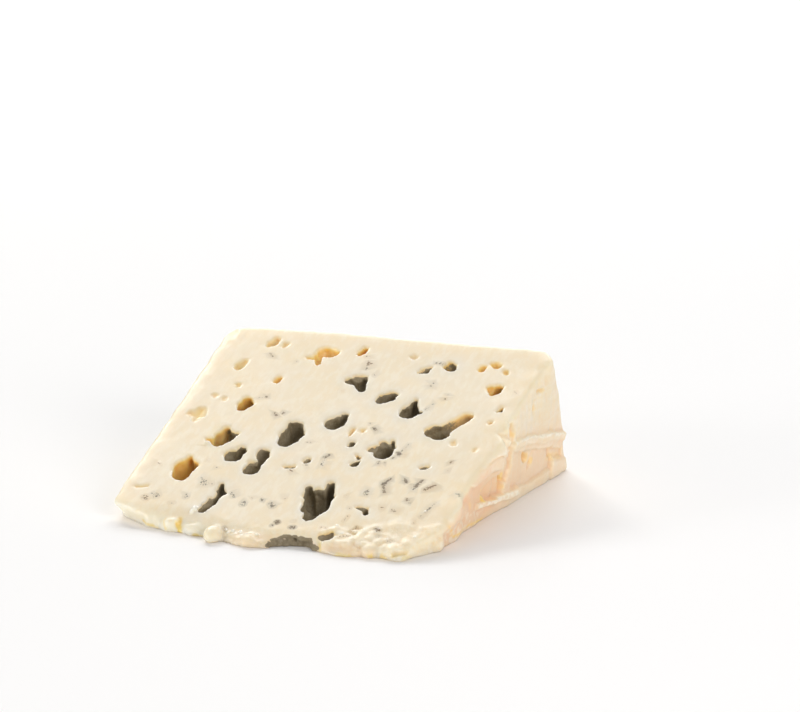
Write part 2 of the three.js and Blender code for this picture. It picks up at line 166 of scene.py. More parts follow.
# Pits of the upper cut face. Each is a set of tapered strokes on the face: across, out and half
# width at one end, the same at the other, and depth. After them: how mouldy the pit is at its
# left and at its right, how strongly its bare walls get a painted amber glow for light through the
# paste, and how much painted shade darkens them deeper down and towards their right.
PITS = (
    (((-34.2, 35.8, 0.4, -33.7, 31.6, 3, 8), (-33.7, 31.6, 3.1, -33.5, 27.9, 2.5, 8)), 0, 0, 1, 0.68),
    (((-29.3, 49.6, 0.6, -28.4, 45.8, 3, 7), (-28.4, 45.8, 3.1, -29, 43.4, 2.2, 7),
      (-25.8, 47.5, 0.8, -27.5, 46, 2.4, 6), (-32.2, 44, 0.9, -29.5, 43.8, 2, 2.6)), 0.15, 1, 0.9, 0.85),
    (((-21.6, 41.2, 1.3, -21.2, 40, 1.3, 5), (-22.9, 38.5, 2.4, -22.6, 37.6, 2.2, 6)), 0.9, 1, 0.6, 0.6),
    (((-15.2, 41, 1.4, -14.7, 39.2, 1.6, 5), (-14.7, 39, 1.3, -13.9, 35, 0.5, 4),
      (-15.6, 33.6, 2.3, -15.4, 33, 2.2, 5), (-16.4, 35.8, 1.2, -15.4, 36.4, 0.9, 1.2)), 1, 1, 0.5, 0.4),
    (((-11.2, 53.6, 2, -10.3, 49.5, 3.2, 8), (-10.3, 49.5, 3.2, -10.7, 46.2, 2.3, 8),
      (-12.6, 54.6, 0.6, -11.5, 52.5, 1.8, 7), (-8.4, 47, 0.9, -9.4, 48.5, 1.8, 7)), 1, 1, 0.4, 0.5),
    (((0.6, 60.3, 0.9, -0.1, 57.8, 2.5, 6), (-0.5, 56.8, 2.85, -0.7, 56.4, 2.8, 7)), 1, 1, 0.4, 0.5),
    (((-28.9, 63.1, 1.1, -28.3, 61, 2.2, 7), (-28.4, 60.6, 2.2, -28.6, 59.4, 1.5, 7)), 0, 0.2, 1, 1),
    (((-39.9, 56.6, 1.2, -39.6, 54.4, 1.9, 0.7), (-39.6, 54.2, 2, -40, 51.9, 0.7, 0.7),
      (-41.8, 54.8, 1, -40.2, 54.2, 1.8, 0.6)), 0, 0, 0.8, 0),
    (((-36.9, 81, 0.6, -37.2, 78.6, 1.3, 1.1), (-37.3, 78.2, 1.4, -37.4, 77.6, 1.3, 1.3)), 0, 0, 0.65, 0),
    (((-31.6, 92.4, 0.9, -31.9, 90.4, 1.5, 1.4), (-31.9, 90.2, 1.6, -32.6, 89.4, 1, 1.5)), 0, 0, 0.6, 0.1),
    (((-28, 90.4, 0.7, -28.3, 88.9, 0.5, 0.7),), 0, 0, 0.7, 0),
    (((-15.4, 88.2, 2.2, -13.6, 87.8, 2.1, 3.2), (-16.6, 86.4, 1.3, -15.4, 82.2, 0.6, 2.6),
      (-19, 84.8, 0.7, -17, 85, 0.9, 1)), 0, 0, 0.9, 0.12),
    (((-4.6, 91.2, 0.7, -4.9, 89.4, 1.2, 3), (-4.9, 89.2, 1.2, -5.1, 88.6, 0.9, 3)), 0, 0, 0.9, 0.45),
    (((-23.9, 74.2, 0.6, -24.1, 72.6, 0.9, 2.2),), 0, 0, 0.85, 0.1),
    (((-34.2, 69.7, 0.4, -33.9, 68.8, 0.45, 0.6),), 0, 0, 0.75, 0),
    (((-38.8, 63.8, 0.5, -38.5, 63.3, 0.55, 0.4),), 0, 0, 0.7, 0),
    (((-35.6, 62.8, 0.4, -35.4, 62, 0.5, 0.4),), 0, 0, 0.7, 0),
    (((-3.9, 76.3, 1.1, -2.2, 75.8, 1.4, 5), (-0.2, 78.2, 0.7, -0.3, 75.4, 1.7, 5),
      (-0.2, 75, 1.7, 1.4, 72, 0.8, 4.5), (-2.4, 77.9, 0.9, -0.8, 78.4, 0.7, 1.6)), 1, 1, 0.5, 0.5),
    (((10.4, 71.4, 1.2, 9.2, 69.6, 2.1, 6), (8.9, 69.3, 2.1, 8.2, 68.3, 1.3, 6),
      (11, 69.2, 0.7, 10.2, 70.2, 1.3, 5)), 1, 1, 0.7, 0.7),
    (((17.6, 69.9, 0.5, 17.7, 66.5, 1.3, 6), (17.5, 65.6, 2, 17.8, 63.8, 2.6, 9),
      (20.6, 64.4, 0.8, 18.8, 63.9, 2, 8)), 1, 1, 0.4, 1),
    (((27.8, 56.7, 2.9, 29.2, 55.8, 2.7, 7), (29.5, 57.5, 2.4, 34, 64.6, 1.4, 4.2)), 0.75, 0.3, 0.75, 0.6),
    (((16.8, 47.4, 2.6, 17.2, 45.3, 2.5, 7.5), (15.4, 48.9, 0.8, 16.8, 47, 2.3, 6),
      (13.4, 46.8, 1.1, 15.6, 47.4, 2, 2.2), (15.5, 49.9, 0.9, 17, 48.5, 1.6, 2),
      (17.6, 51.3, 0.2, 18.8, 48, 0.8, 2.5)), 1, 1, 0.6, 0.5),
    (((7.3, 48.3, 0.9, 7.3, 47.4, 0.95, 3),), 1, 1, 0.4, 0.6),
    (((11.7, 41, 0.6, 11.2, 39.7, 1.1, 3.2), (10.5, 43.5, 0.25, 11.2, 42.6, 0.5, 1.8)), 1, 1, 0.4, 0.9),
    (((-1.9, 40.2, 0.5, -2, 39, 0.85, 1.8),), 0.8, 0.8, 0.4, 0.4),
    (((-6.6, 35.8, 0.6, -4.8, 36, 0.8, 1.7),), 0.8, 0.8, 0.4, 0.4),
    (((30.5, 41.4, 0.7, 29.9, 40.8, 0.8, 2.4),), 1, 1, 0.5, 0.8),
    (((38, 78.6, 1.2, 37.8, 76.6, 1.7, 4.5), (37.5, 76.4, 1.4, 37.4, 75.3, 0.8, 4.5),
      (36.4, 78.2, 1, 37.4, 77, 1.4, 2.2)), 0.1, 0.4, 0.95, 0.6),
    (((42.2, 69.6, 0.3, 42.1, 68.1, 0.7, 2.6), (41.6, 67.5, 0.4, 42.6, 67.7, 0.5, 2.4)), 0.6, 0.6, 0.8, 1),
    (((21.5, 86.4, 1.2, 22.6, 85.4, 1.3, 5), (21.5, 88, 0.6, 22.2, 87, 1.1, 3)), 0.5, 0.8, 0.9, 0.8),
    (((16.6, 85.3, 0.3, 15.6, 83.5, 1.2, 2.8), (14.3, 82.5, 0.5, 15.8, 83.1, 1, 2.6)), 0.6, 0.9, 0.5, 0.5),
    (((31.1, 87.6, 0.6, 31, 85.9, 0.8, 1.8),), 0, 0, 0.9, 0),
    (((34, 89.2, 1, 34.8, 88.5, 1.2, 1.6),), 0, 0, 0.9, 0.1),
    (((37.8, 86.6, 0.3, 38.3, 85.3, 0.5, 0.9),), 0, 0, 0.9, 0),
    (((10.2, 89.3, 0.9, 10.7, 88.9, 0.9, 0.7),), 0, 0, 0.4, 0),
    (((2.8, 28.2, 0.8, 3.8, 25, 1.5, 8), (7.9, 30.6, 0.8, 8.9, 25.6, 1.7, 8), (8.9, 25.6, 1.7, 9.1, 20.5, 2.2, 7),
      (5.4, 26.6, 1.9, 7.7, 20.2, 3, 7.5), (7.9, 20.2, 3, 7.3, 16.8, 1.9, 5.5),
      (3.4, 26.6, 1, 5.4, 19.4, 1.5, 5)), 1, 1, 0.5, 0.85),
    (((-21, 26, 0.25, -20.3, 23.4, 0.9, 4), (-20.3, 23.4, 1, -19.2, 22.4, 0.8, 4.5),
      (-19.9, 22.5, 0.8, -20, 18, 0.8, 4), (-20.3, 18, 1, -21.8, 14.8, 1.2, 3.4),
      (-21.6, 19.5, 0.5, -21.8, 17, 0.8, 1.6)), 1, 1, 0.5, 0.8),
    (((18.3, 22.4, 0.35, 20.4, 21.6, 0.6, 1.4), (20.5, 21.8, 0.7, 21.4, 20, 0.55, 2.6)), 1, 1, 0.5, 0.9),
    (((15.3, 11.4, 0.6, 14.9, 9.8, 1.9, 2.4), (13.6, 9.4, 1, 15, 9, 1.6, 2.2)), 1, 1, 0.6, 0.4),
    (((8.1, 54.4, 0.5, 8.1, 53.5, 0.6, 0.8),), 0, 0, 0.7, 0),
    (((34, 52.9, 0.5, 34.5, 51.9, 0.8, 0.6),), 0, 0, 0.6, 0),
    (((40.7, 50.8, 0.35, 40.6, 49.9, 0.5, 0.5),), 0, 0, 0.7, 0),
    (((41.2, 62.8, 0.4, 41.2, 62.3, 0.4, 0.8),), 0, 0, 0.7, 0),
    (((5.2, 54.6, 0.2, 5.3, 51.5, 0.35, 0.9),), 0.4, 0.4, 0.5, 0.4),
    (((-43.2, 21.2, 0.2, -40.6, 21.8, 0.3, 0.5),), 0, 0, 0.7, 0.5),
    (((34.2, 5.7, 0.5, 36.6, 7.1, 0.4, 1.2),), 0, 0, 0.3, 0.3),
)

# Mould that shows at or just under the surface of the cut: a stroke, strength, and how brown
VEINS = (
    (-27.3, 27.3, 0.5, -25.5, 25.2, 1.2, 0.32, 0.1), (-23.6, 25.3, 0.4, -23.4, 25.2, 0.4, 0.4, 0.7),
    (-39.2, 17.2, 0.9, -38.6, 16.6, 0.8, 0.4, 0.9), (-37.4, 18.8, 0.9, -36.4, 18.2, 1.2, 0.3, 0.2),
    (-28.8, 20.3, 0.3, -28.2, 19, 0.7, 0.4, 0.2), (-31.5, 15.9, 0.4, -30.6, 16, 0.5, 0.3, 0.6),
    (-16.8, 22.6, 0.4, -15.6, 21.2, 0.5, 0.45, 0.2), (-12.1, 19.2, 0.7, -11.9, 18.5, 0.8, 0.5, 0.2),
    (-7.8, 21.3, 0.3, -7.3, 20.8, 0.4, 0.6, 0.2), (-4.6, 19.9, 0.7, -3.8, 19, 0.8, 0.55, 0.2),
    (-0.2, 13.1, 0.5, 0.1, 12.7, 0.5, 1, 0.5), (-0.9, 11.8, 0.3, -1, 11.3, 0.3, 0.7, 0.4),
    (4.2, 11.5, 0.5, 4.9, 11.5, 0.6, 0.8, 0.4), (3.8, 14, 0.4, 4, 14, 0.4, 0.3, 0.7),
    (2.2, 41, 0.5, 3, 42.3, 0.5, 0.65, 0.3), (2.4, 39.8, 0.5, 2.7, 37.6, 0.6, 0.3, 0.2),
    (-18.7, 58.1, 0.3, -17.6, 57.2, 0.35, 0.8, 0.6), (-16.6, 58.8, 0.3, -16.4, 58.5, 0.35, 0.8, 0.6),
    (-24.1, 65.1, 0.4, -23.9, 64.9, 0.35, 0.7, 0.6), (-26.4, 64.1, 0.3, -24.8, 64.6, 0.3, 0.35, 0.4),
    (-31.1, 85.3, 0.2, -29.4, 84, 0.3, 0.6, 0.6), (-21.9, 82.6, 0.3, -21.7, 82.4, 0.3, 0.4, 0.7),
    (-1.4, 85.3, 0.5, -0.9, 84.3, 0.9, 0.5, 0.8), (-1, 82.5, 0.4, -0.9, 82, 0.5, 0.55, 0.5),
    (-2.9, 87.6, 0.4, -2, 87.6, 0.5, 0.35, 0.8), (18.5, 29.6, 0.4, 18.7, 28, 1, 0.4, 0.2),
    (22.9, 34.9, 0.25, 21.9, 32.4, 0.55, 0.9, 0.4), (22.2, 31.5, 0.2, 23.3, 29, 0.3, 0.8, 0.5),
    (26.6, 35.6, 0.2, 27.4, 34.1, 0.4, 0.85, 0.4), (31.4, 35.6, 0.3, 30.3, 32.6, 0.6, 0.7, 0.5),
    (30.5, 32, 0.4, 30.3, 31.4, 0.4, 0.4, 0.2), (35.5, 34.3, 0.25, 33.4, 32.1, 0.6, 0.7, 0.8),
    (30.1, 27.5, 0.25, 30.2, 27, 0.3, 0.9, 0.6), (31.1, 26.3, 0.2, 31.3, 26.1, 0.25, 0.7, 0.5),
    (13.9, 26.5, 0.3, 13.9, 26.3, 0.35, 0.35, 0.7), (38, 27, 0.3, 36.2, 22.8, 0.5, 0.3, 0.1),
    (35.9, 21.3, 0.3, 36.1, 21, 0.4, 0.45, 0.4), (27.8, 22.4, 0.5, 28.3, 22.2, 0.6, 0.45, 0.8),
    (16.4, 21.4, 0.3, 16.6, 21.2, 0.3, 0.4, 0.8), (26.6, 14.1, 0.7, 27, 13.7, 0.7, 0.6, 0.5),
    (28, 11.6, 0.5, 28.2, 11.4, 0.5, 0.35, 0.3), (30.6, 10.4, 0.6, 31.6, 10.2, 0.7, 0.25, 0.1),
    (42.2, 31.5, 0.6, 42.9, 31.1, 0.7, 0.3, 0.1), (23.1, 68.7, 0.2, 21.9, 65.8, 0.3, 0.4, 0.3),
    (22.6, 50, 0.25, 21.7, 46.6, 0.3, 0.4, 0.2), (21, 46.1, 0.3, 21.7, 45.5, 0.5, 0.95, 0.4),
    (22.9, 45.4, 0.3, 23, 45.2, 0.3, 0.4, 0.8), (20.8, 44.4, 0.2, 20.4, 43.6, 0.3, 0.6, 0.3),
    (17.3, 41.3, 0.25, 17.3, 40.6, 0.3, 0.7, 0.4), (18.9, 41.3, 0.2, 19, 41.1, 0.25, 0.6, 0.4),
    (19.9, 78.4, 0.3, 19.9, 78, 0.35, 0.45, 0.3), (19.7, 77, 0.3, 19.7, 76.6, 0.35, 0.5, 0.5),
    (25.8, 73.5, 0.2, 25.8, 73.3, 0.25, 0.45, 0.4), (25.5, 71.5, 0.25, 25.5, 71.1, 0.3, 0.5, 0.8),
    (17.5, 87.4, 0.4, 19.4, 87.4, 0.6, 0.4, 0.3), (43.5, 77.3, 0.3, 43.9, 76.6, 0.4, 0.35, 0.8),
    (-4.9, 46.8, 0.3, -3.8, 47, 0.3, 0.4, 0.7), (36.2, 44.8, 0.3, 36.3, 44, 0.3, 0.7, 0.8),
    (36.8, 40.7, 0.25, 36.9, 40.5, 0.25, 0.4, 0.7), (-1.9, 22.9, 0.25, -1.8, 22.7, 0.3, 0.4, 0.8),
    (-10.6, 21.5, 0.25, -10.5, 21.2, 0.25, 0.35, 0.8), (-28.9, 35, 0.3, -28.8, 34.7, 0.3, 0.3, 0.8),
    (-25.4, 32.1, 0.3, -25.1, 32.2, 0.3, 0.3, 0.6), (10.6, 55.7, 0.3, 11.5, 55, 0.45, 0.75, 0.4),
    (-1.8, 37.5, 0.4, -1.4, 37.3, 0.4, 0.4, 0.5), (-4.8, 34.4, 0.4, -4.2, 34, 0.4, 0.45, 0.8),
    (24.4, 3.6, 0.3, 24.6, 3, 0.35, 0.8, 0.5), (-30.9, 5.3, 0.25, -30.8, 5, 0.3, 0.5, 0.6),
    (-13.4, 9, 0.3, -12.8, 8.4, 0.35, 0.5, 0.3), (-9.9, 2.6, 0.4, -9.4, 2.2, 0.4, 0.8, 0.4),
    (16.9, 16.2, 0.3, 17.3, 18.2, 0.25, 0.4, 1), (20.3, 12.6, 0.3, 20.8, 14.6, 0.2, 0.45, 1),
    (18.4, 9.6, 0.4, 20.2, 10.2, 0.35, 0.5, 1), (12.4, 12.6, 0.5, 13.8, 12, 0.4, 0.4, 1),
    (24.6, 23, 0.4, 25.2, 22.6, 0.4, 0.4, 1), (34.4, 19.4, 0.25, 35, 18.2, 0.25, 0.3, 1),
    (9, 57.6, 0.2, 9.4, 57, 0.2, 0.4, 0.4), (2.3, 79.6, 0.3, 2.6, 79, 0.3, 0.4, 0.6),
    (-41.9, 31.9, 0.4, -41.2, 31.4, 0.4, 0.3, 1), (-4.2, 71.4, 0.3, -4, 71, 0.3, 0.2, 0.9),
)

# The wide dark pit that opens through the front edge
FRONT_PIT = ((7, 4.4, 1), (6.2, 4.4, 2.9))

# Painted amber glow and shade in cracks and creases and along the foot, as strokes: across and height
# on the front, out and height on the right end
FRONT_SEAMS = (
    (-26.8, 3.2, 0.45, -26, 0.3, 0.6, 1), (-37.8, 1.2, 0.2, -32.7, 0.5, 0.2, 0.8),
    (-21.4, 0.3, 0.25, -17.9, 0.3, 0.2, 0.8), (-30.6, 2.8, 0.2, -29.8, 0.8, 0.2, 0.5),
    (27.4, 2.2, 0.5, 27.9, 0.6, 0.6, 0.7), (30.6, 0.5, 0.5, 31.8, 0.4, 0.3, 0.6), (13.6, 2.6, 0.4, 14.2, 0.8, 0.4, 0.6),
    (19.4, 0.4, 0.4, 22.6, 0.3, 0.3, 0.6), (-1.5, 2.4, 0.8, 0.4, 2, 0.8, 0.5), (36.4, 2, 0.5, 36.8, 0.8, 0.6, 0.4),
)
SIDE_SEAMS = (
    (25, 1.9, 0.2, 36, 1.5, 0.2, 0.9), (36, 1.5, 0.2, 46, 0.7, 0.15, 0.9), (41.6, 9.4, 0.4, 43.2, 6.6, 0.5, 0.9),
    (43.4, 9.9, 0.3, 47, 11, 0.3, 0.5), (57.5, 12.5, 0.5, 58.4, 8.6, 0.5, 0.6), (56.8, 10.4, 0.4, 57.4, 6.4, 0.4, 0.3),
    (76, 25.2, 0.4, 76.4, 23.6, 0.5, 0.35), (78, 28.1, 0.4, 82, 27.6, 0.4, 0.4),
    (59.4, 23.2, 0.5, 62.2, 19.6, 0.6, 0.5),
    (28.1, 9.9, 0.2, 29.8, 8, 0.25, 0.4), (34, 8.2, 0.2, 35, 6.6, 0.2, 0.4), (90, 6.8, 1, 97, 5.4, 0.9, 0.3),
    (71.6, 11.6, 1, 74.2, 10.4, 1, 0.5), (76.4, 9.8, 0.9, 78.2, 8.6, 0.9, 0.5), (19, 6.2, 0.2, 25, 1.6, 0.2, 0.6),
)

# Pits of the hidden faces, spread by rule
UNDERSIDE = {"count": 15, "narrowest": 1.1, "widest": 2.9, "inset": 9, "spacing": 14}
RIND_PITS = {"count": 7, "narrowest": 0.9, "widest": 1.8}
RIM_RADIUS = 5
# Curds that stand out along the front rim
CURDS = {"from": 13, "to": 36, "count": 70, "smallest": 0.4, "largest": 1.0}
DRAW_SEED = 4177

# Lights: name, place, what it points at, size, watts, colour. All in metres.
CENTRE = (0, 0, 0.02)
LIGHTS = (
    ("key", (-1.4, 1.5, 1.5), CENTRE, 0.7, 14.6, (1, 0.98, 0.94)),
    ("fill", (0.85, -0.55, 0.45), CENTRE, 0.5, 4.8, (1, 0.955, 0.95)),
    ("front", (-1.0, -0.66, 0.16), CENTRE, 0.5, 6.3, (1, 0.975, 0.95)),
    ("back", (-0.4, 2.6, 1.8), (0, 1.2, 0), 2.5, 44, (1, 1, 1)),
)
SKY_STRENGTH = 0.4
FLOOR_HALF = 12.0
FLOOR_TONE = 0.94

# The camera, seen from the wheel's axis: place in mm, turn and tilt in degrees, lens in mm
CAMERA_PLACE = (259.58, -584.87, 196.19)
CAMERA_TURN = 20.769
CAMERA_TILT = 12.844
LENS = 120
SENSOR_WIDTH = 36


def smooth(value, low, high):
    t = np.clip((value - low) / (high - low), 0, 1)
    return t * t * (3 - 2 * t)


def soft_max(a, b, radius):
    """The larger of two distances, with the crease between them rounded."""
    return np.maximum(a, b) + np.maximum(radius - np.abs(a - b), 0) ** 2 / (4 * radius)


def soft_min(a, b, radius):
    return -soft_max(-a, -b, radius)


def noise(axes, grain, seed):
    """Smooth noise of about -1 to 1 on a grid. The grain is in mm, one for each axis."""
    grain = np.broadcast_to(grain, 3)
    counts = [int((a[-1] - a[0]) / g) + 5 for a, g in zip(axes, grain)]
    values = np.random.default_rng(seed).uniform(-2.4, 2.4, counts).astype(np.float32)
    for k, (axis, g) in enumerate(zip(axes, grain)):
        t = (axis - axis[0]) / g
        i = np.floor(t).astype(int)
        f = (t - i).astype(np.float32)
        weights = ((1 - f) ** 3, 3 * f**3 - 6 * f**2 + 4, -3 * f**3 + 3 * f**2 + 3 * f + 1, f**3)
        shape = [1, 1, 1]
        shape[k] = len(axis)
        values = sum(np.take(values, i + n, axis=k) * (w / 6).reshape(shape) for n, w in enumerate(weights))
    return values


def noise_at(points, grain, seed):
    """The same kind of noise at loose points."""
    t = (points - points.min(0)) / grain
    i = np.floor(t).astype(int)
    f = smooth(t - i, 0, 1)
    values = np.random.default_rng(seed).uniform(-1.3, 1.3, i.max(0) + 2)
    total = np.zeros(len(points))
    for dx in (0, 1):
        for dy in (0, 1):
            for dz in (0, 1):
                weight = np.abs(1 - dx - f[:, 0]) * np.abs(1 - dy - f[:, 1]) * np.abs(1 - dz - f[:, 2])
                total += weight * values[i[:, 0] + dx, i[:, 1] + dy, i[:, 2] + dz]
    return total


def on_face(y, z):
    """Distance out along the upper cut face, and height above it."""
    return y * COS + z * SIN, z * COS - y * SIN


def stroke_distance(x, r, stroke):
    """Distance from a tapered stroke on the cut face, below 0 inside it."""
    x1, r1, w1, x2, r2, w2 = stroke[:6]
    length = (x2 - x1) ** 2 + (r2 - r1) ** 2
    t = np.clip(((x - x1) * (x2 - x1) + (r - r1) * (r2 - r1)) / length, 0, 1)
    return np.hypot(x - x1 - t * (x2 - x1), r - r1 - t * (r2 - r1)) - (w1 + t * (w2 - w1))


def pit_distance(x, r, h, strokes):
    """Distance from the hollow of a pit: a little wider below its mouth, closed at its depth."""
    nearest = None
    for stroke in strokes:
        depth = stroke[6]
        s = np.clip(-h / depth, -1, 2)
        half = max(stroke[2], stroke[5])
        spread = 0.3 * min(1, depth / 5) * 4 * np.clip(s, 0, 1) * (1 - np.clip(s, 0, 1)) - half * np.maximum(s, 0) ** 4
        distance = stroke_distance(x, r, stroke) - spread
        nearest = distance if nearest is None else np.minimum(nearest, distance)
    return nearest


def outline_distance(u, v, points):
    """Distance from a closed outline of straight lines, below 0 inside it."""
    points = np.array(points, float)
    nearest = np.full(np.broadcast(u, v).shape, np.inf)
    inside = np.zeros(nearest.shape, bool)
    for (u1, v1), (u2, v2) in zip(points, np.roll(points, -1, 0)):
        t = np.clip(((u - u1) * (u2 - u1) + (v - v1) * (v2 - v1)) / ((u2 - u1) ** 2 + (v2 - v1) ** 2), 0, 1)
        nearest = np.minimum(nearest, np.hypot(u - u1 - t * (u2 - u1), v - v1 - t * (v2 - v1)))
        if v1 != v2:
            inside ^= ((v1 > v) != (v2 > v)) & (u < u1 + (v - v1) * (u2 - u1) / (v2 - v1))
    return np.where(inside, -nearest, nearest)


def patch_relief(patches, y, z):
    total = 0
    for outline, stand, softness in patches:
        edge = PATCH_EDGE * softness
        total = total + stand * (1 - smooth(outline_distance(y, z, outline), -edge, edge))
    return total


def right_pit_distance(y, z):
    """Distance from the mouths of the pits of the right end, and the depth of the nearest."""
    nearest = np.full(np.broadcast(y, z).shape, 9.0)
    depth = np.zeros(nearest.shape)
    for out, height, long, tall, turn, deep in RIGHT_PITS:
        c, s = math.cos(math.radians(turn)), math.sin(math.radians(turn))
        u = ((y - out) * c + (z - height) * s) / long
        v = ((z - height) * c - (y - out) * s) / tall
        distance = (np.hypot(u, v) - 1) * min(long, tall)
        depth = np.where(distance < nearest, deep, depth)
        nearest = np.minimum(nearest, distance)
    return nearest, depth


def sag(y, z):
    return smooth(np.hypot(y, z), 62, WHEEL_RADIUS) * np.maximum(0, 1 - np.maximum(z, 0) / SAG_HEIGHT)


def line(points, value):
    """The height of a line of points at a value."""
    return np.interp(value, *np.array(points, float).T)


def right_end(y, z, warp=0):
    upwards = np.clip(z / np.maximum(y * SIN / COS, 1), 0, 1)
    foot = line(RIGHT_FOOT, y)
    edge = line(RIGHT_EDGE, y / COS)
    bow = foot + (edge - foot) * upwards ** 0.7
    return bow + RIGHT_DEPTH * patch_relief(RIGHT_PATCHES, y + warp, z + 0.7 * warp) * smooth(y * SIN / COS - z, 0, 2.5)


def left_end(y, z, warp=0):
    below_rim = smooth(y * SIN / COS - z, 0, 4)
    folds = patch_relief(LEFT_PATCHES, y + 2 * warp, z + 1.6 * warp)
    return -HALF_HEIGHT - folds * below_rim - SAG_SIDE * sag(y, z)


def front_face(x, z):
    """How far out the front stands back from the wheel's axis."""
    foot = line(FRONT_FOOT, x)
    rim = line(FRONT_RIM, x)
    return foot + (rim * COS - foot) * smooth(z / np.maximum(rim * SIN, 1), 0.1, 1.2)


def body_field(axes):
    """Distance from the wedge without its pits, below 0 inside."""
    x = axes[0][:, None, None]
    y = axes[1][None, :, None]
    z = axes[2][None, None, :]
    r, h = on_face(y, z)
    medium = noise(axes, 3.4, 10)
    rough = noise(axes, 1.9, 11)
    fine = noise(axes, 1.0, 12)
    broad = noise(axes, (13, 17, 13), 13)
    streaks = noise(axes, (3.0, 1.3, 12.0), 14)
    plane = [axes[0][:1], axes[1], axes[2]]
    warp = 0.4 * noise(plane, 3.0, 15) + 0.3 * noise(plane, 1.1, 16)
    serrated = noise(plane, (1.0, 0.9, 2.6), 17)
    crumbly = (1 - smooth(r - 0.3 * np.maximum(x - 10, 0), 9.5, 15)) * (0.4 + 0.6 * smooth(x, 6, 16))
    side_rough = 0.2 + 0.3 * (1 - smooth(y, 22, 58)) + 0.2 * (1 - smooth(y, 14, 40)) * (1 - smooth(z, 6, 9))
    streaked = smooth(y, 56, 64) * (0.35 + 0.65 * smooth(z, 6, 16))
    ledge = np.exp(-(((z - 15.4 + 0.17 * (y - 70)) / 1.6) ** 2)) * smooth(y, 56, 62)
    folded = 0.06 * noise(axes, 1.6, 19) * smooth(x, 8, 14) * (1 - smooth(r, 16, 22))
    top = h - 0.13 * broad - 0.02 * rough - 0.16 * medium * smooth(x, 32, 42)
    out = y[:, :, :1] / COS + 0.3 * rough[:, :, :1]
    top = top - patch_relief(TOP_PATCHES, x + 0.5 * medium[:, :, :1], out) - folded
    right = x - right_end(y, z, warp) + streaked * 0.35 * (np.abs(streaks) - 0.35)
    right = right - side_rough * (0.8 * medium + 0.5 * rough) - 0.07 * fine - 0.12 * ledge * serrated
    pit_gap, pit_depth = right_pit_distance(y, z)
    right = right + pit_depth * (1 - smooth(pit_gap + 0.2 * serrated, -0.8, 0.3))
    left = left_end(y, z, warp) - x - 0.2 * rough - 0.12 * streaks - 0.06 * fine
    rind = np.hypot(y, z) - WHEEL_RADIUS - SAG_OUT * sag(y, z) - 0.3 * broad - 0.15 * rough - 0.1 * medium - 0.06 * fine
    torn = noise(axes, (0.9, 2.0, 2.6), 18)
    front = front_face(x, z) - y - 0.25 * medium - 0.22 * torn
    field = soft_max(soft_max(left, rind, 7.5), right, 5)
    field = soft_max(field, front, 2.6)
    left_front = smooth(-x, 8, 26) * (1 - smooth(r, 15, 24)) * (1 - 0.8 * smooth(-x, 34, 46))
    right_front = smooth(x, 34, 44) * (1 - smooth(r, 18, 34))
    field = soft_max(field, top, 1.7 + 0.4 * crumbly + 1.0 * right_front + 3.4 * left_front - 1.15 * smooth(r, 86, 94))
    field = soft_max(field, 0.75 * (x - 48.3) + 0.6 * (r - 94.9) + 0.3 * h + 0.2 * medium, 1.2)
    field = soft_max(field, -z + 0 * x, 0.6)
    return field - crumbly * (0.1 * rough + 0.1 * fine) - 0.012 * fine


def block(axes, low, high):
    """The part of the grid inside a box: its slices and its axes."""
    slices = tuple(slice(*np.searchsorted(a, (lo, hi))) for a, lo, hi in zip(axes, low, high))
    return slices, [a[s] for a, s in zip(axes, slices)]


def ball_distance(axes, place, half):
    scaled = [((a - p) / s) for a, p, s in zip(axes, place, half)]
    length = np.sqrt(scaled[0][:, None, None] ** 2 + scaled[1][None, :, None] ** 2 + scaled[2][None, None, :] ** 2)
    return (length - 1) * min(half)


def add_crumbs(field, axes):
    for n, (place, half, rough) in enumerate(CRUMBS):
        low = [p - h - 2 for p, h in zip(place, half)]
        high = [p + h + 2 for p, h in zip(place, half)]
        slices, part = block(axes, low, high)
        lump = ball_distance(part, place, half) - rough * (noise(part, 2.2, 100 + n) + 0.5 * noise(part, 1.1, 140 + n))
        field[slices] = soft_min(field[slices], lump, 0.6 + 0.2 * min(half))


def add_lobes(field, axes):
    for n, (first, second, start, end, rough) in enumerate(LOBES):
        low = [min(a, b) - max(start, end) - 2 for a, b in zip(first, second)]
        high = [max(a, b) + max(start, end) + 2 for a, b in zip(first, second)]
        slices, part = block(axes, low, high)
        gaps = [np.reshape(a - p, [-1 if k == m else 1 for m in range(3)])
                for k, (a, p) in enumerate(zip(part, first))]
        run = np.subtract(second, first)
        t = np.clip(sum(g * d for g, d in zip(gaps, run)) / (run @ run), 0, 1)
        length = np.sqrt(sum((g - t * d) ** 2 for g, d in zip(gaps, run)))
        wavy = noise(part, 2.0, 500 + n) + 0.5 * noise(part, 1.0, 520 + n)
        field[slices] = soft_min(field[slices], length - start - t * (end - start) - rough * wavy, 1.3)


def add_beads(field, axes):
    for x, y, z, radius in BEADS:
        slices, part = block(axes, (x - 2, y - 2, z - 2), (x + 2, y + 2, z + 2))
        field[slices] = soft_min(field[slices], ball_distance(part, (x, y, z), (radius,) * 3), 0.35)


def add_slabs(field, axes):
    for n, (outline, top, at, rise, rough) in enumerate(SLABS):
        low, high = np.min(outline, 0) - 2, np.max(outline, 0) + 2
        slices, part = block(axes, (*low, -2), (*high, top + 3))
        x, y, z = part[0][:, None, None], part[1][None, :, None], part[2][None, None, :]
        wavy = noise(part, 2.4, 540 + n) + 0.5 * noise(part, 1.1, 560 + n)
        edge = outline_distance(x[:, :, 0], y[:, :, 0], outline)[:, :, None] + 0.35 * z
        slab = soft_max(edge, z - top - rise * (y - at), 0.8) - rough * wavy
        field[slices] = soft_min(field[slices], slab, 0.5)


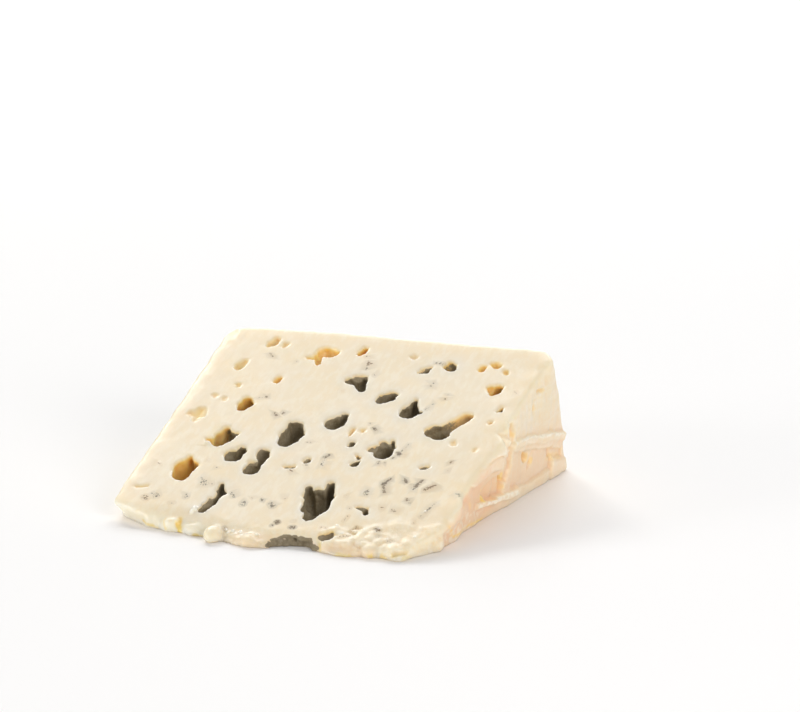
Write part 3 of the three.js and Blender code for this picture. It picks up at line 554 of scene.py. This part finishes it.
def add_curds(field, axes):
    run = draws(DRAW_SEED + 1)
    for _ in range(CURDS["count"]):
        x = CURDS["from"] + (CURDS["to"] - CURDS["from"]) * next(run)
        r = line(FRONT_RIM, x) + 5.5 * next(run) ** 1.4
        radius = CURDS["smallest"] + (CURDS["largest"] - CURDS["smallest"]) * next(run) ** 2
        h = -0.9 * radius
        place = (x, r * COS - h * SIN, r * SIN + h * COS)
        half = (radius * (1 + 1.2 * next(run)), radius * (1 + 0.6 * next(run)), radius)
        slices, part = block(axes, [p - 2.5 for p in place], [p + 2.5 for p in place])
        field[slices] = soft_min(field[slices], ball_distance(part, place, half), 0.5)


def cut_front_pit(field, axes):
    place, half = FRONT_PIT
    slices, part = block(axes, [p - h - 3 for p, h in zip(place, half)], [p + h + 3 for p, h in zip(place, half)])
    hollow = ball_distance(part, place, half) + 0.5 * noise(part, 1.8, 7) + 0.25 * noise(part, 0.8, 8)
    field[slices] = soft_max(field[slices], -hollow, 0.4)


def pit_box(strokes):
    low_x = min(min(s[0] - s[2], s[3] - s[5]) for s in strokes) - 1.5
    high_x = max(max(s[0] + s[2], s[3] + s[5]) for s in strokes) + 1.5
    low_r = min(min(s[1] - s[2], s[4] - s[5]) for s in strokes) - 1.5
    high_r = max(max(s[1] + s[2], s[4] + s[5]) for s in strokes) + 1.5
    return low_x, high_x, low_r, high_r, max(s[6] for s in strokes) + 1


def near_side(x, r, box):
    """1 at the near right edge of a pit, 0 at its far left edge."""
    low_x, high_x, low_r, high_r, _ = box
    return smooth((high_r + low_r) / 2 - r + 0.4 * (x - (low_x + high_x) / 2), -0.8, 1.6)


def cut_pits(field, axes):
    for n, pit in enumerate(PITS):
        box = pit_box(pit[0])
        low_x, high_x, low_r, high_r, depth = box
        low = (low_x, low_r * COS, low_r * SIN - depth)
        high = (high_x, high_r * COS + depth * SIN, high_r * SIN + 1.5)
        slices, part = block(axes, low, high)
        x = part[0][:, None, None]
        r, h = on_face(part[1][None, :, None], part[2][None, None, :])
        hollow = pit_distance(x, r, h, pit[0])
        wrinkle = 0.22 * noise(part, (1.3, 2.2, 2.2), 200 + n) + 0.16 * noise(part, 0.8, 300 + n)
        near = near_side(x, r, box)
        lip = 0.16 * near * min(1, depth / 5) * np.exp(-(((hollow - 0.2) / 0.3) ** 2) - (h / 0.8) ** 2)
        field[slices] = soft_max(field[slices] - lip, -(hollow + wrinkle), 0.35 + 0.7 * (1 - near))


def draws(seed):
    """A run of numbers between 0 and 1 that is the same each time."""
    state = seed
    while True:
        state = (state * 1664525 + 1013904223) % 4294967296
        yield state / 4294967296


def hidden_pits():
    """Pits of the underside and of the rind: place, half sizes, turn."""
    run = draws(DRAW_SEED)
    places = []
    pits = []
    height = 2 * HALF_HEIGHT
    for _ in range(400):
        if len(places) == UNDERSIDE["count"]:
            break
        x = (next(run) - 0.5) * (height - 2 * UNDERSIDE["inset"])
        y = UNDERSIDE["inset"] + 12 + next(run) * (WHEEL_RADIUS - 2 * UNDERSIDE["inset"] - 12)
        if any(math.hypot(px - x, py - y) < UNDERSIDE["spacing"] for px, py in places):
            continue
        places.append((x, y))
        wide = UNDERSIDE["narrowest"] + (UNDERSIDE["widest"] - UNDERSIDE["narrowest"]) * next(run) ** 2
        tall = min(wide * (0.9 + 0.5 * next(run)), 0.16 * y)
        half = (wide, wide * (1 + 0.8 * next(run)), tall)
        pits.append(((x, y, 0.0), half, next(run) - 0.5))
    for i in range(RIND_PITS["count"]):
        x = ((i + 0.3 + 0.4 * next(run)) / RIND_PITS["count"] - 0.5) * (height - 4 * RIM_RADIUS)
        wide = RIND_PITS["narrowest"] + (RIND_PITS["widest"] - RIND_PITS["narrowest"]) * next(run)
        turn = SECTOR * (0.3 + 0.45 * next(run))
        out = SAG_OUT * max(0, 1 - WHEEL_RADIUS * math.sin(turn) / SAG_HEIGHT)
        place = (x, WHEEL_RADIUS * math.cos(turn) + out, WHEEL_RADIUS * math.sin(turn))
        pits.append((place, (wide * 1.5, 2.2, wide), 0.0))
    return pits


def cut_hidden_pits(field, axes, pits):
    for n, (place, half, turn) in enumerate(pits):
        reach = max(half) + 2
        slices, part = block(axes, [p - reach for p in place], [p + reach for p in place])
        dx = part[0][:, None, None] - place[0]
        dy = part[1][None, :, None] - place[1]
        dz = part[2][None, None, :] - place[2]
        u = (dx * math.cos(turn) + dy * math.sin(turn)) / half[0]
        v = (dy * math.cos(turn) - dx * math.sin(turn)) / half[1]
        hollow = (np.sqrt(u**2 + v**2 + (dz / half[2]) ** 2) - 1) * min(half)
        hollow = hollow + 0.2 * noise(part, 1.4, 400 + n)
        field[slices] = soft_max(field[slices], -hollow, 0.4)


def surface_net(field, axes):
    """Closed quads on the zero level of the field, one point in each cell that it crosses."""
    inside = field < 0
    shape = np.array(field.shape) - 1
    corners = [(i, j, k) for i in (0, 1) for j in (0, 1) for k in (0, 1)]
    count = np.zeros(shape, np.int8)
    for i, j, k in corners:
        count += inside[i : i + shape[0], j : j + shape[1], k : k + shape[2]]
    active = (count > 0) & (count < 8)
    ids = np.full(active.shape, -1, np.int32)
    ids[active] = np.arange(active.sum())
    cells = np.argwhere(active)
    total = np.zeros((len(cells), 3))
    number = np.zeros(len(cells))
    for a in corners:
        for k in range(3):
            if a[k]:
                continue
            b = np.array(a)
            b[k] = 1
            va = field[tuple((cells + a).T)]
            vb = field[tuple((cells + b).T)]
            cross = (va < 0) != (vb < 0)
            t = np.where(cross, va / np.where(cross, va - vb, 1), 0)
            total += np.where(cross[:, None], np.array(a) + t[:, None] * (b - a), 0)
            number += cross
    origin = np.array([a[0] for a in axes])
    points = (cells + total / number[:, None]) * VOXEL + origin
    quads = []
    for k in range(3):
        m, n = (k + 1) % 3, (k + 2) % 3
        low = [slice(None)] * 3
        high = [slice(None)] * 3
        low[k], high[k] = slice(None, -1), slice(1, None)
        first, second = inside[tuple(low)], inside[tuple(high)]
        for forward in (True, False):
            edges = np.argwhere(first & ~second if forward else ~first & second)
            ring = []
            for dm, dn in ((-1, -1), (0, -1), (0, 0), (-1, 0)):
                cell = edges.copy()
                cell[:, m] += dm
                cell[:, n] += dn
                ring.append(ids[tuple(cell.T)])
            quads.append(np.stack(ring if forward else ring[::-1], 1))
    return points, np.concatenate(quads)


def largest_piece(points, quads):
    """Drops the loose scraps that cutting leaves."""
    label = np.arange(len(points))
    edges = np.concatenate([quads[:, [0, 1]], quads[:, [1, 2]], quads[:, [2, 3]]])
    while True:
        lowest = np.minimum(label[edges[:, 0]], label[edges[:, 1]])
        before = label.copy()
        np.minimum.at(label, edges[:, 0], lowest)
        np.minimum.at(label, edges[:, 1], lowest)
        label = label[label]
        if (label == before).all():
            break
    keep = label == np.bincount(label).argmax()
    index = np.cumsum(keep) - 1
    return points[keep], index[quads[keep[quads[:, 0]]]]


def sculpt():
    """The wedge's surface as points and quads, in mm."""
    axes = [np.arange(a, b, VOXEL, dtype=np.float32) for a, b in zip(GRID_LOW, GRID_HIGH)]
    field = body_field(axes).astype(np.float32)
    add_crumbs(field, axes)
    add_lobes(field, axes)
    add_slabs(field, axes)
    add_curds(field, axes)
    cut_front_pit(field, axes)
    add_beads(field, axes)
    cut_pits(field, axes)
    cut_hidden_pits(field, axes, hidden_pits())
    floor = -np.broadcast_to(axes[2][None, None, :], field.shape)
    np.maximum(field, floor, out=field)
    return largest_piece(*surface_net(field, axes))


def stroke_marks(u, v, strokes, ragged):
    """How strongly strokes mark a face, from 0 to 1."""
    marks = np.zeros(len(u))
    for stroke in strokes:
        marks = np.maximum(marks, stroke[6] * (1 - smooth(stroke_distance(u, v, stroke) + 0.2 * ragged, -0.2, 0.45)))
    return marks


def paint(points):
    """What the material and the thinning need to know at each point, each value from 0 to 1."""
    x, y, z = points.T
    r, h = on_face(y, z)
    ragged = noise_at(points, 0.9, 21)
    cloudy = noise_at(points, 5.0, 22)
    mould, painted_glow, painted_shade, painted_light_and_flakes, cool, lip, vein, strength, brown = np.zeros((9, len(points)))
    for strokes, mould_left, mould_right, glow_amount, shade_amount in PITS:
        box = pit_box(strokes)
        low_x, high_x, low_r, high_r, depth = box
        near = (x > low_x - 2) & (x < high_x + 2) & (r > low_r - 2) & (r < high_r + 2) & (h < 0.6) & (h > -depth - 1)
        if not near.any():
            continue
        px, pr, ph = x[near], r[near], h[near]
        gap = pit_distance(px, pr, ph, strokes)
        inside = 1 - smooth(gap, 0.35, 0.8)
        lip[near] = np.maximum(lip[near], 1 - smooth(gap, 0.8, 2.2))
        across = (px - low_x - 1.5) / (high_x - low_x - 3)
        mouldy = mould_left + (mould_right - mould_left) * smooth(across, 0.25, 0.75)
        wall = smooth(-ph + 0.35 * ragged[near], 0.35, 1.25)
        mould[near] = np.maximum(mould[near], inside * wall * mouldy)
        far = 1 - near_side(px, pr, box)
        # Painted glow: amber on the bare walls and on the far rim, standing in for light through the thin paste.
        glow = inside * smooth(-ph, 0.05, min(1.2, 0.6 * depth)) + 0.3 * far * np.exp(-((gap / 0.7) ** 2))
        painted_glow[near] = np.maximum(painted_glow[near], np.minimum(glow, 1) * glow_amount)
        # Painted shade: the walls darker deeper down and towards the pit's right.
        shade = 0.25 + 0.75 * smooth(across, 0.15, 0.9)
        painted_shade[near] = np.maximum(painted_shade[near], inside * smooth(-ph, 0.3, 2.2) * shade_amount * shade)
        # Painted highlight: a thin bright line along the near rim of the deeper pits.
        edge = np.exp(-(((gap - 0.25) / 0.28) ** 2)) * smooth(ph, -0.5, -0.1) * smooth(ragged[near], -0.6, 0.4)
        painted_light_and_flakes[near] = np.maximum(painted_light_and_flakes[near], 0.7 * edge * (1 - far) * min(1, depth / 4))
        cool[near] = np.maximum(cool[near], 0.8 * mouldy * min(1, depth / 5) * np.exp(-((gap / 2.4) ** 2)))
    place, half = FRONT_PIT
    reach = np.linalg.norm((points - place) / (np.array(half) + 0.5), axis=1)
    mould = np.maximum(mould, 1 - smooth(reach + 0.1 * ragged, 0.9, 1.1))
    # Painted shade: the front pit's walls darker, unevenly.
    painted_shade = np.maximum(painted_shade, (0.32 + 0.3 * cloudy) * (1 - smooth(reach, 0.95, 1.1)))
    for place, half, _ in hidden_pits():
        reach = np.linalg.norm((points - place) / half, axis=1)
        below = z > 0.8 if place[2] == 0 else y < place[1] - 0.5
        mould = np.maximum(mould, below * (1 - smooth(reach + 0.15 * ragged, 1.1, 1.35)))
    # Painted glint: the wet beads whiter than the paste around them.
    for bead in BEADS:
        distance = np.linalg.norm(points - bead[:3], axis=1) - bead[3]
        painted_light_and_flakes = np.maximum(painted_light_and_flakes, 0.9 * (1 - smooth(distance, 0.0, 0.3)))
        mould = mould * smooth(distance, 0.05, 0.3)
    surface = h > -1.2
    for row in VEINS:
        distance = stroke_distance(x, r, row)
        spot = surface * (1 - smooth(distance, -0.35, 0.75))
        nearer = spot > vein
        strength = np.where(nearer, row[6], strength)
        brown = np.where(nearer, row[7], brown)
        vein = np.maximum(vein, spot)
    side = smooth(x, 37, 41) * smooth(-h, 0.4, 2.5)
    front = smooth(-h, 0.2, 1.2) * (1 - smooth(y, 14, 20)) * (z > 0.05)
    # Painted glow and shade: amber lines in the cracks and creases of the front and the right end.
    painted_glow = np.maximum(painted_glow, front * stroke_marks(x, z, FRONT_SEAMS, ragged))
    painted_glow = np.maximum(painted_glow, side * stroke_marks(y, z, SIDE_SEAMS, ragged))
    gap, deep = right_pit_distance(y, z)
    # Painted shade: the deeper pits of the right end darker.
    painted_shade = np.maximum(painted_shade, side * 0.8 * (1 - smooth(gap, -1.2, 0)) * smooth(deep, 1.2, 2.4))
    relief = patch_relief(RIGHT_PATCHES, y, z)
    sunken = np.clip(-relief / 1.5, 0, 1)
    flakes = smooth(relief, 0.5, 0.8) * smooth(ragged, -0.4, 0.3)
    # Painted light: the raised patches of the right end paler, with whiter flakes on their crests and along the foot.
    painted_light_and_flakes = np.maximum(painted_light_and_flakes, side * (0.25 * np.clip(relief, 0, 1) + 0.6 * flakes) * (z > 2))
    foot = side * (1 - smooth(y, 38, 50)) * (1 - smooth(z, 5, 8)) * smooth(ragged - 0.3 * cloudy, 0.1, 0.6)
    painted_light_and_flakes = np.maximum(painted_light_and_flakes, 0.5 * foot)
    # Painted warm light: pinker on the right end, low down, towards its front and in its recesses, and on the lower
    # front right, for warm reflected light and glow through the paste.
    painted_warm_light = 0.5 - 0.45 * smooth(z, 7, 24) + 0.6 * (1 - smooth(y, 38, 60)) + 0.22 * sunken + 0.12 * cloudy
    painted_warm_light = side * painted_warm_light * smooth(y, 14, 22)
    ahead = smooth(line(FRONT_RIM, x) * COS - y, -0.4, 1.2) * (z > 0.05) * smooth(x, -14, -8)
    painted_warm_light = np.maximum(painted_warm_light, ahead * (0.62 - 0.4 * smooth(z, 0.8, 3.2)) * (1 - smooth(x, 31, 37)))
    # Painted glow of light through the thin paste: yellower near the left edge, the back edge and the front rim.
    rim = 0.5 - 0.5 * smooth(x + 0.8 * cloudy, -47.5, -40)
    rim = np.maximum(rim, 0.3 * smooth(r + cloudy, 88, 97))
    rim = np.maximum(rim, 0.3 * (1 - smooth(r - 0.15 * np.maximum(x, 0) + 2 * cloudy, 8, 17)) * smooth(x, -40, 5))
    # Painted bounce light: the left corner and the front wall left of the middle paler.
    corner = smooth(-x, 34, 46) * smooth(-h, -0.3, 1) * (1 - smooth(y, 14, 28))
    wall = smooth(-x, 14, 20) * smooth(-h, 0, 1.2) * (1 - smooth(y, 14, 24))
    painted_light_and_flakes = np.maximum(painted_light_and_flakes, np.maximum(0.8 * corner, 0.5 * wall))
    # Painted glow: yellower on the right edge below the top and over the left part of the top.
    rim = np.maximum(rim, 0.3 * smooth(x + 2 * cloudy, 30, 44) * smooth(h, -2, -0.5))
    rim = np.maximum(rim, 0.6 * (1 - smooth(x + 3 * cloudy, -46, -10)) * smooth(r + 3 * cloudy, 30, 85))
    # Painted highlight: a thin bright line along the back and left edges.
    outer = np.maximum(smooth(r + 0.5 * ragged, 95.5, 97), 1 - smooth(x + 0.5 * ragged, -48, -46.5))
    painted_light_and_flakes = np.maximum(painted_light_and_flakes, 0.55 * outer * smooth(h, -1.5, -0.3))
    crumb = np.maximum(1 - smooth(r - 0.25 * np.maximum(x - 8, 0), 8, 13), 0.7 * side)
    crumb = np.maximum(crumb, 0.8 * smooth(-x, 44, 48) * smooth(-h, 0.5, 3))
    crumb = np.maximum(crumb, 0.8 * smooth(np.hypot(y, z), 94, 97) * smooth(-h, 0.5, 3))
    return {"mould": mould, "painted_glow": painted_glow, "painted_shade": painted_shade, "painted_light_and_flakes": painted_light_and_flakes, "vein": vein, "strength": strength,
            "brown": brown, "painted_warm_light": np.clip(painted_warm_light, 0, 1), "rim": rim, "cool": cool, "crumb": crumb, "lip": lip}


def mesh_object(name, points, quads):
    mesh = bpy.data.meshes.new(name)
    mesh.vertices.add(len(points))
    mesh.vertices.foreach_set("co", points.astype(np.float32).ravel())
    mesh.loops.add(quads.size)
    mesh.loops.foreach_set("vertex_index", quads.astype(np.int32).ravel())
    mesh.polygons.add(len(quads))
    mesh.polygons.foreach_set("loop_start", np.arange(0, quads.size, 4, dtype=np.int32))
    mesh.update(calc_edges=True)
    mesh.validate()
    obj = bpy.data.objects.new(name, mesh)
    bpy.context.scene.collection.objects.link(obj)
    return obj


def thin_out(obj, detail):
    """Brings the mesh under its limit of triangles, taking them where the surface is plain."""
    obj.vertex_groups.new(name="plain")
    group = obj.vertex_groups["plain"]
    for level in range(5):
        chosen = np.nonzero(np.round(detail * 4) == level)[0]
        group.add([int(i) for i in chosen], 1 - level / 4, "REPLACE")
    modifier = obj.modifiers.new("thin out", "DECIMATE")
    modifier.ratio = min(1, MOST_TRIANGLES / (2 * len(obj.data.polygons)))
    modifier.vertex_group = "plain"
    modifier.vertex_group_factor = 1
    modifier.use_collapse_triangulate = True
    evaluated = obj.evaluated_get(bpy.context.evaluated_depsgraph_get())
    mesh = bpy.data.meshes.new_from_object(evaluated)
    obj.modifiers.clear()
    obj.vertex_groups.clear()
    old = obj.data
    obj.data = mesh
    bpy.data.meshes.remove(old)


def vertex_places(obj):
    places = np.empty(len(obj.data.vertices) * 3, np.float32)
    obj.data.vertices.foreach_get("co", places)
    return places.reshape(-1, 3).astype(float)


class Nodes:
    """Short ways to build a material's nodes."""

    def __init__(self, material):
        material.use_nodes = True
        self.tree = material.node_tree
        self.tree.nodes.clear()

    def add(self, kind, **values):
        node = self.tree.nodes.new(kind)
        for key, value in values.items():
            setattr(node, key, value)
        return node

    def link(self, source, target):
        self.tree.links.new(source, target)

    def attribute(self, name):
        return self.add("ShaderNodeAttribute", attribute_name=name).outputs["Fac"]

    def noise(self, scale, detail=3, roughness=0.55, place=None, distortion=0):
        node = self.add("ShaderNodeTexNoise")
        node.inputs["Scale"].default_value = scale
        node.inputs["Detail"].default_value = detail
        node.inputs["Roughness"].default_value = roughness
        node.inputs["Distortion"].default_value = distortion
        self.link(place, node.inputs["Vector"])
        return node.outputs["Fac"]

    def remap(self, source, low, high, to_low=0.0, to_high=1.0):
        node = self.add("ShaderNodeMapRange", interpolation_type="SMOOTHSTEP")
        self.link(source, node.inputs["Value"])
        for key, value in (("From Min", low), ("From Max", high), ("To Min", to_low), ("To Max", to_high)):
            node.inputs[key].default_value = value
        return node.outputs["Result"]

    def math(self, operation, a, b):
        node = self.add("ShaderNodeMath", operation=operation)
        for socket, value in zip(node.inputs, (a, b)):
            if isinstance(value, (int, float)):
                socket.default_value = value
            else:
                self.link(value, socket)
        return node.outputs[0]

    def times(self, a, b):
        return self.math("MULTIPLY", a, b)

    def plus(self, a, b):
        return self.math("ADD", a, b)

    def mix(self, amount, a, b):
        node = self.add("ShaderNodeMix", data_type="RGBA")
        self.link(amount, node.inputs["Factor"])
        for socket, value in ((node.inputs[6], a), (node.inputs[7], b)):
            if isinstance(value, tuple):
                socket.default_value = (*value, 1)
            else:
                self.link(value, socket)
        return node.outputs[2]


def srgb(red, green, blue):
    """A colour given as 0 to 255 values, as linear light."""
    return tuple(((c / 255 + 0.055) / 1.055) ** 2.4 if c > 10 else c / 255 / 12.92 for c in (red, green, blue))


def cheese_material():
    material = bpy.data.materials.new("cheese_paste")
    n = Nodes(material)
    place = n.add("ShaderNodeTexCoord").outputs["Object"]
    drawn = n.add("ShaderNodeMapping")
    n.link(place, drawn.inputs["Vector"])
    drawn.inputs["Rotation"].default_value = (0, 0, math.radians(-24))
    drawn.inputs["Scale"].default_value = (1, 0.16, 1)
    broad = n.noise(70, 3, 0.5, place)
    cloudy = n.noise(260, 4, 0.6, place)
    grain = n.noise(1500, 3, 0.6, place)
    speckle = n.noise(2000, 2, 0.5, place)
    smear = n.noise(620, 3, 0.55, drawn.outputs["Vector"])
    paste = n.mix(n.remap(broad, 0.35, 0.65), srgb(241, 228, 202), srgb(242, 226, 194))
    paste = n.mix(n.remap(cloudy, 0.45, 0.75, 0, 0.25), paste, srgb(234, 224, 202))
    paste = n.mix(n.remap(smear, 0.42, 0.66, 0, 0.5), paste, srgb(247, 238, 218))
    paste = n.mix(n.times(n.attribute("cool"), 0.6), paste, srgb(229, 223, 209))
    # Painted glow of light through the thin paste: yellower near the edges and over the left of the top.
    paste = n.mix(n.times(n.attribute("rim"), 0.7), paste, srgb(246, 227, 192))
    crumb = n.attribute("crumb")
    curd = n.noise(800, 3, 0.6, place)
    paste = n.mix(n.times(crumb, n.remap(curd, 0.48, 0.32, 0, 0.35)), paste, srgb(244, 216, 166))
    paste = n.mix(n.times(crumb, n.remap(curd, 0.54, 0.7, 0, 0.3)), paste, srgb(250, 240, 220))
    # Painted warm reflected light and glow on the right end, in its recesses and on the lower front right.
    paste = n.mix(n.times(n.attribute("painted_warm_light"), 0.88), paste, srgb(242, 204, 166))
    # Painted highlights, glints and bounce light, and whiter flakes.
    paste = n.mix(n.attribute("painted_light_and_flakes"), paste, srgb(255, 243, 223))
    # Painted glow in pits and cracks, turned dark brown where painted shade falls.
    painted_glow = n.mix(n.attribute("painted_shade"), srgb(253, 213, 126), srgb(132, 98, 58))
    colour = n.mix(n.attribute("painted_glow"), paste, painted_glow)
    ragged = n.plus(n.attribute("vein"), n.times(n.math("SUBTRACT", speckle, 0.5), 1.7))
    ragged = n.plus(ragged, n.times(n.attribute("strength"), 0.7))
    within = n.remap(n.attribute("vein"), 0, 0.3)
    veined = n.times(n.attribute("strength"), within)
    haze_tone = n.mix(n.attribute("brown"), srgb(176, 174, 160), srgb(206, 180, 138))
    colour = n.mix(n.times(veined, 0.65), colour, haze_tone)
    spots = n.times(n.remap(ragged, 1.1, 1.5, 0, 0.85), within)
    spot_tone = n.mix(n.attribute("brown"), srgb(88, 86, 72), srgb(140, 108, 66))
    colour = n.mix(spots, colour, spot_tone)
    mould_tone = n.mix(n.remap(cloudy, 0.35, 0.65), srgb(146, 132, 103), srgb(172, 160, 134))
    mould_tone = n.mix(n.remap(grain, 0.5, 0.72, 0, 0.4), mould_tone, srgb(186, 178, 150))
    mould_tone = n.mix(n.remap(grain, 0.45, 0.3, 0, 0.35), mould_tone, srgb(98, 88, 66))
    # Painted shade: mould darker deeper in the pits and towards their right.
    mould_tone = n.mix(n.times(n.attribute("painted_shade"), 0.7), mould_tone, srgb(84, 72, 52))
    mould = n.attribute("mould")
    edge = n.plus(mould, n.times(n.math("SUBTRACT", grain, 0.5), 0.7))
    mouldy = n.times(n.remap(edge, 0.35, 0.6), n.remap(mould, 0.02, 0.2))
    colour = n.mix(mouldy, colour, mould_tone)
    shader = n.add("ShaderNodeBsdfPrincipled")
    n.link(colour, shader.inputs["Base Color"])
    n.link(n.remap(mouldy, 0, 1, 0.95, 0.15), shader.inputs["Subsurface Weight"])
    shader.inputs["Subsurface Radius"].default_value = (0.9, 0.88, 0.78)
    shader.inputs["Subsurface Scale"].default_value = 0.0034
    shader.inputs["IOR"].default_value = 1.42
    n.link(n.remap(n.attribute("painted_light_and_flakes"), 0.78, 0.95, 0.12, 0.7), shader.inputs["Coat Weight"])
    shader.inputs["Coat Roughness"].default_value = 0.16
    gloss = n.plus(n.remap(cloudy, 0.3, 0.7, 0.34, 0.5), n.times(mouldy, 0.3))
    n.link(gloss, shader.inputs["Roughness"])
    bump = n.add("ShaderNodeBump")
    bump.inputs["Strength"].default_value = 0.3
    bump.inputs["Distance"].default_value = 0.00045
    height = n.plus(n.times(cloudy, 0.45), n.times(grain, 0.12))
    height = n.plus(height, n.times(smear, 0.6))
    rougher = n.plus(mouldy, crumb)
    height = n.plus(height, n.times(n.times(grain, rougher), 0.8))
    n.link(height, bump.inputs["Height"])
    n.link(bump.outputs["Normal"], shader.inputs["Normal"])
    n.link(shader.outputs["BSDF"], n.add("ShaderNodeOutputMaterial").inputs["Surface"])
    return material


def make_cheese():
    points, quads = sculpt()
    obj = mesh_object("cheese", points, quads)
    painted = paint(points)
    detail = np.maximum.reduce([painted["mould"] * 0.9, painted["vein"] * 0.75, painted["painted_glow"], painted["lip"] * 0.8])
    r, h = on_face(points[:, 1], points[:, 2])
    detail = np.maximum(detail, 0.75 * (points[:, 1] < 18) * (points[:, 2] > 0.2))
    detail = np.maximum(detail, 0.5 * (r > 95.5) * (h > -1.5))
    detail = np.maximum(detail, 0.5 * (points[:, 0] > 38) * (h < -0.5) * (points[:, 2] > 0.2))
    thin_out(obj, np.clip(detail, 0, 1))
    points = vertex_places(obj)
    for name, values in paint(points).items():
        attribute = obj.data.attributes.new(name, "FLOAT", "POINT")
        attribute.data.foreach_set("value", values.astype(np.float32))
    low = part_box(NODE)[0]
    axis = np.array([low[0] + LEFT_OF_AXIS * MM, low[1] - TIP_FROM_AXIS * MM, low[2]])
    obj.data.vertices.foreach_set("co", (points * MM + axis).astype(np.float32).ravel())
    obj.data.shade_smooth()
    obj.data.materials.clear()
    obj.data.materials.append(cheese_material())
    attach(obj, "root")
    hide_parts(NODE)
    return axis


def make_floor():
    mesh = bpy.data.meshes.new("floor")
    a = FLOOR_HALF
    mesh.from_pydata([(-a, -a, 0), (a, -a, 0), (a, a, 0), (-a, a, 0)], [], [(0, 1, 2, 3)])
    floor = bpy.data.objects.new("floor", mesh)
    bpy.context.scene.collection.objects.link(floor)
    material = bpy.data.materials.new("floor")
    material.use_nodes = True
    shader = material.node_tree.nodes["Principled BSDF"]
    shader.inputs["Base Color"].default_value = (FLOOR_TONE, FLOOR_TONE, FLOOR_TONE, 1)
    shader.inputs["Roughness"].default_value = 0.6
    mesh.materials.append(material)


def make_light(name, place, target, size, watts, colour):
    light = bpy.data.lights.new(name, "AREA")
    light.shape = "DISK"
    light.size = size
    light.energy = watts
    light.color = colour
    obj = bpy.data.objects.new(name, light)
    obj.location = place
    obj.rotation_euler = (Vector(target) - Vector(place)).to_track_quat("-Z", "Y").to_euler()
    bpy.context.scene.collection.objects.link(obj)


def make_stage(axis):
    make_floor()
    for light in LIGHTS:
        make_light(*light)
    world = bpy.data.worlds.new("studio")
    world.use_nodes = True
    background = world.node_tree.nodes["Background"]
    background.inputs["Color"].default_value = (1, 1, 1, 1)
    background.inputs["Strength"].default_value = SKY_STRENGTH
    bpy.context.scene.world = world
    camera = bpy.data.cameras.new("camera")
    camera.lens = LENS
    camera.sensor_width = SENSOR_WIDTH
    obj = bpy.data.objects.new("camera", camera)
    obj.location = Vector(CAMERA_PLACE) * MM + Vector(axis)
    obj.rotation_euler = (math.radians(90 - CAMERA_TILT), 0, math.radians(CAMERA_TURN))
    bpy.context.scene.collection.objects.link(obj)
    bpy.context.scene.camera = obj
    bpy.context.scene.view_settings.view_transform = "Standard"


make_stage(make_cheese())
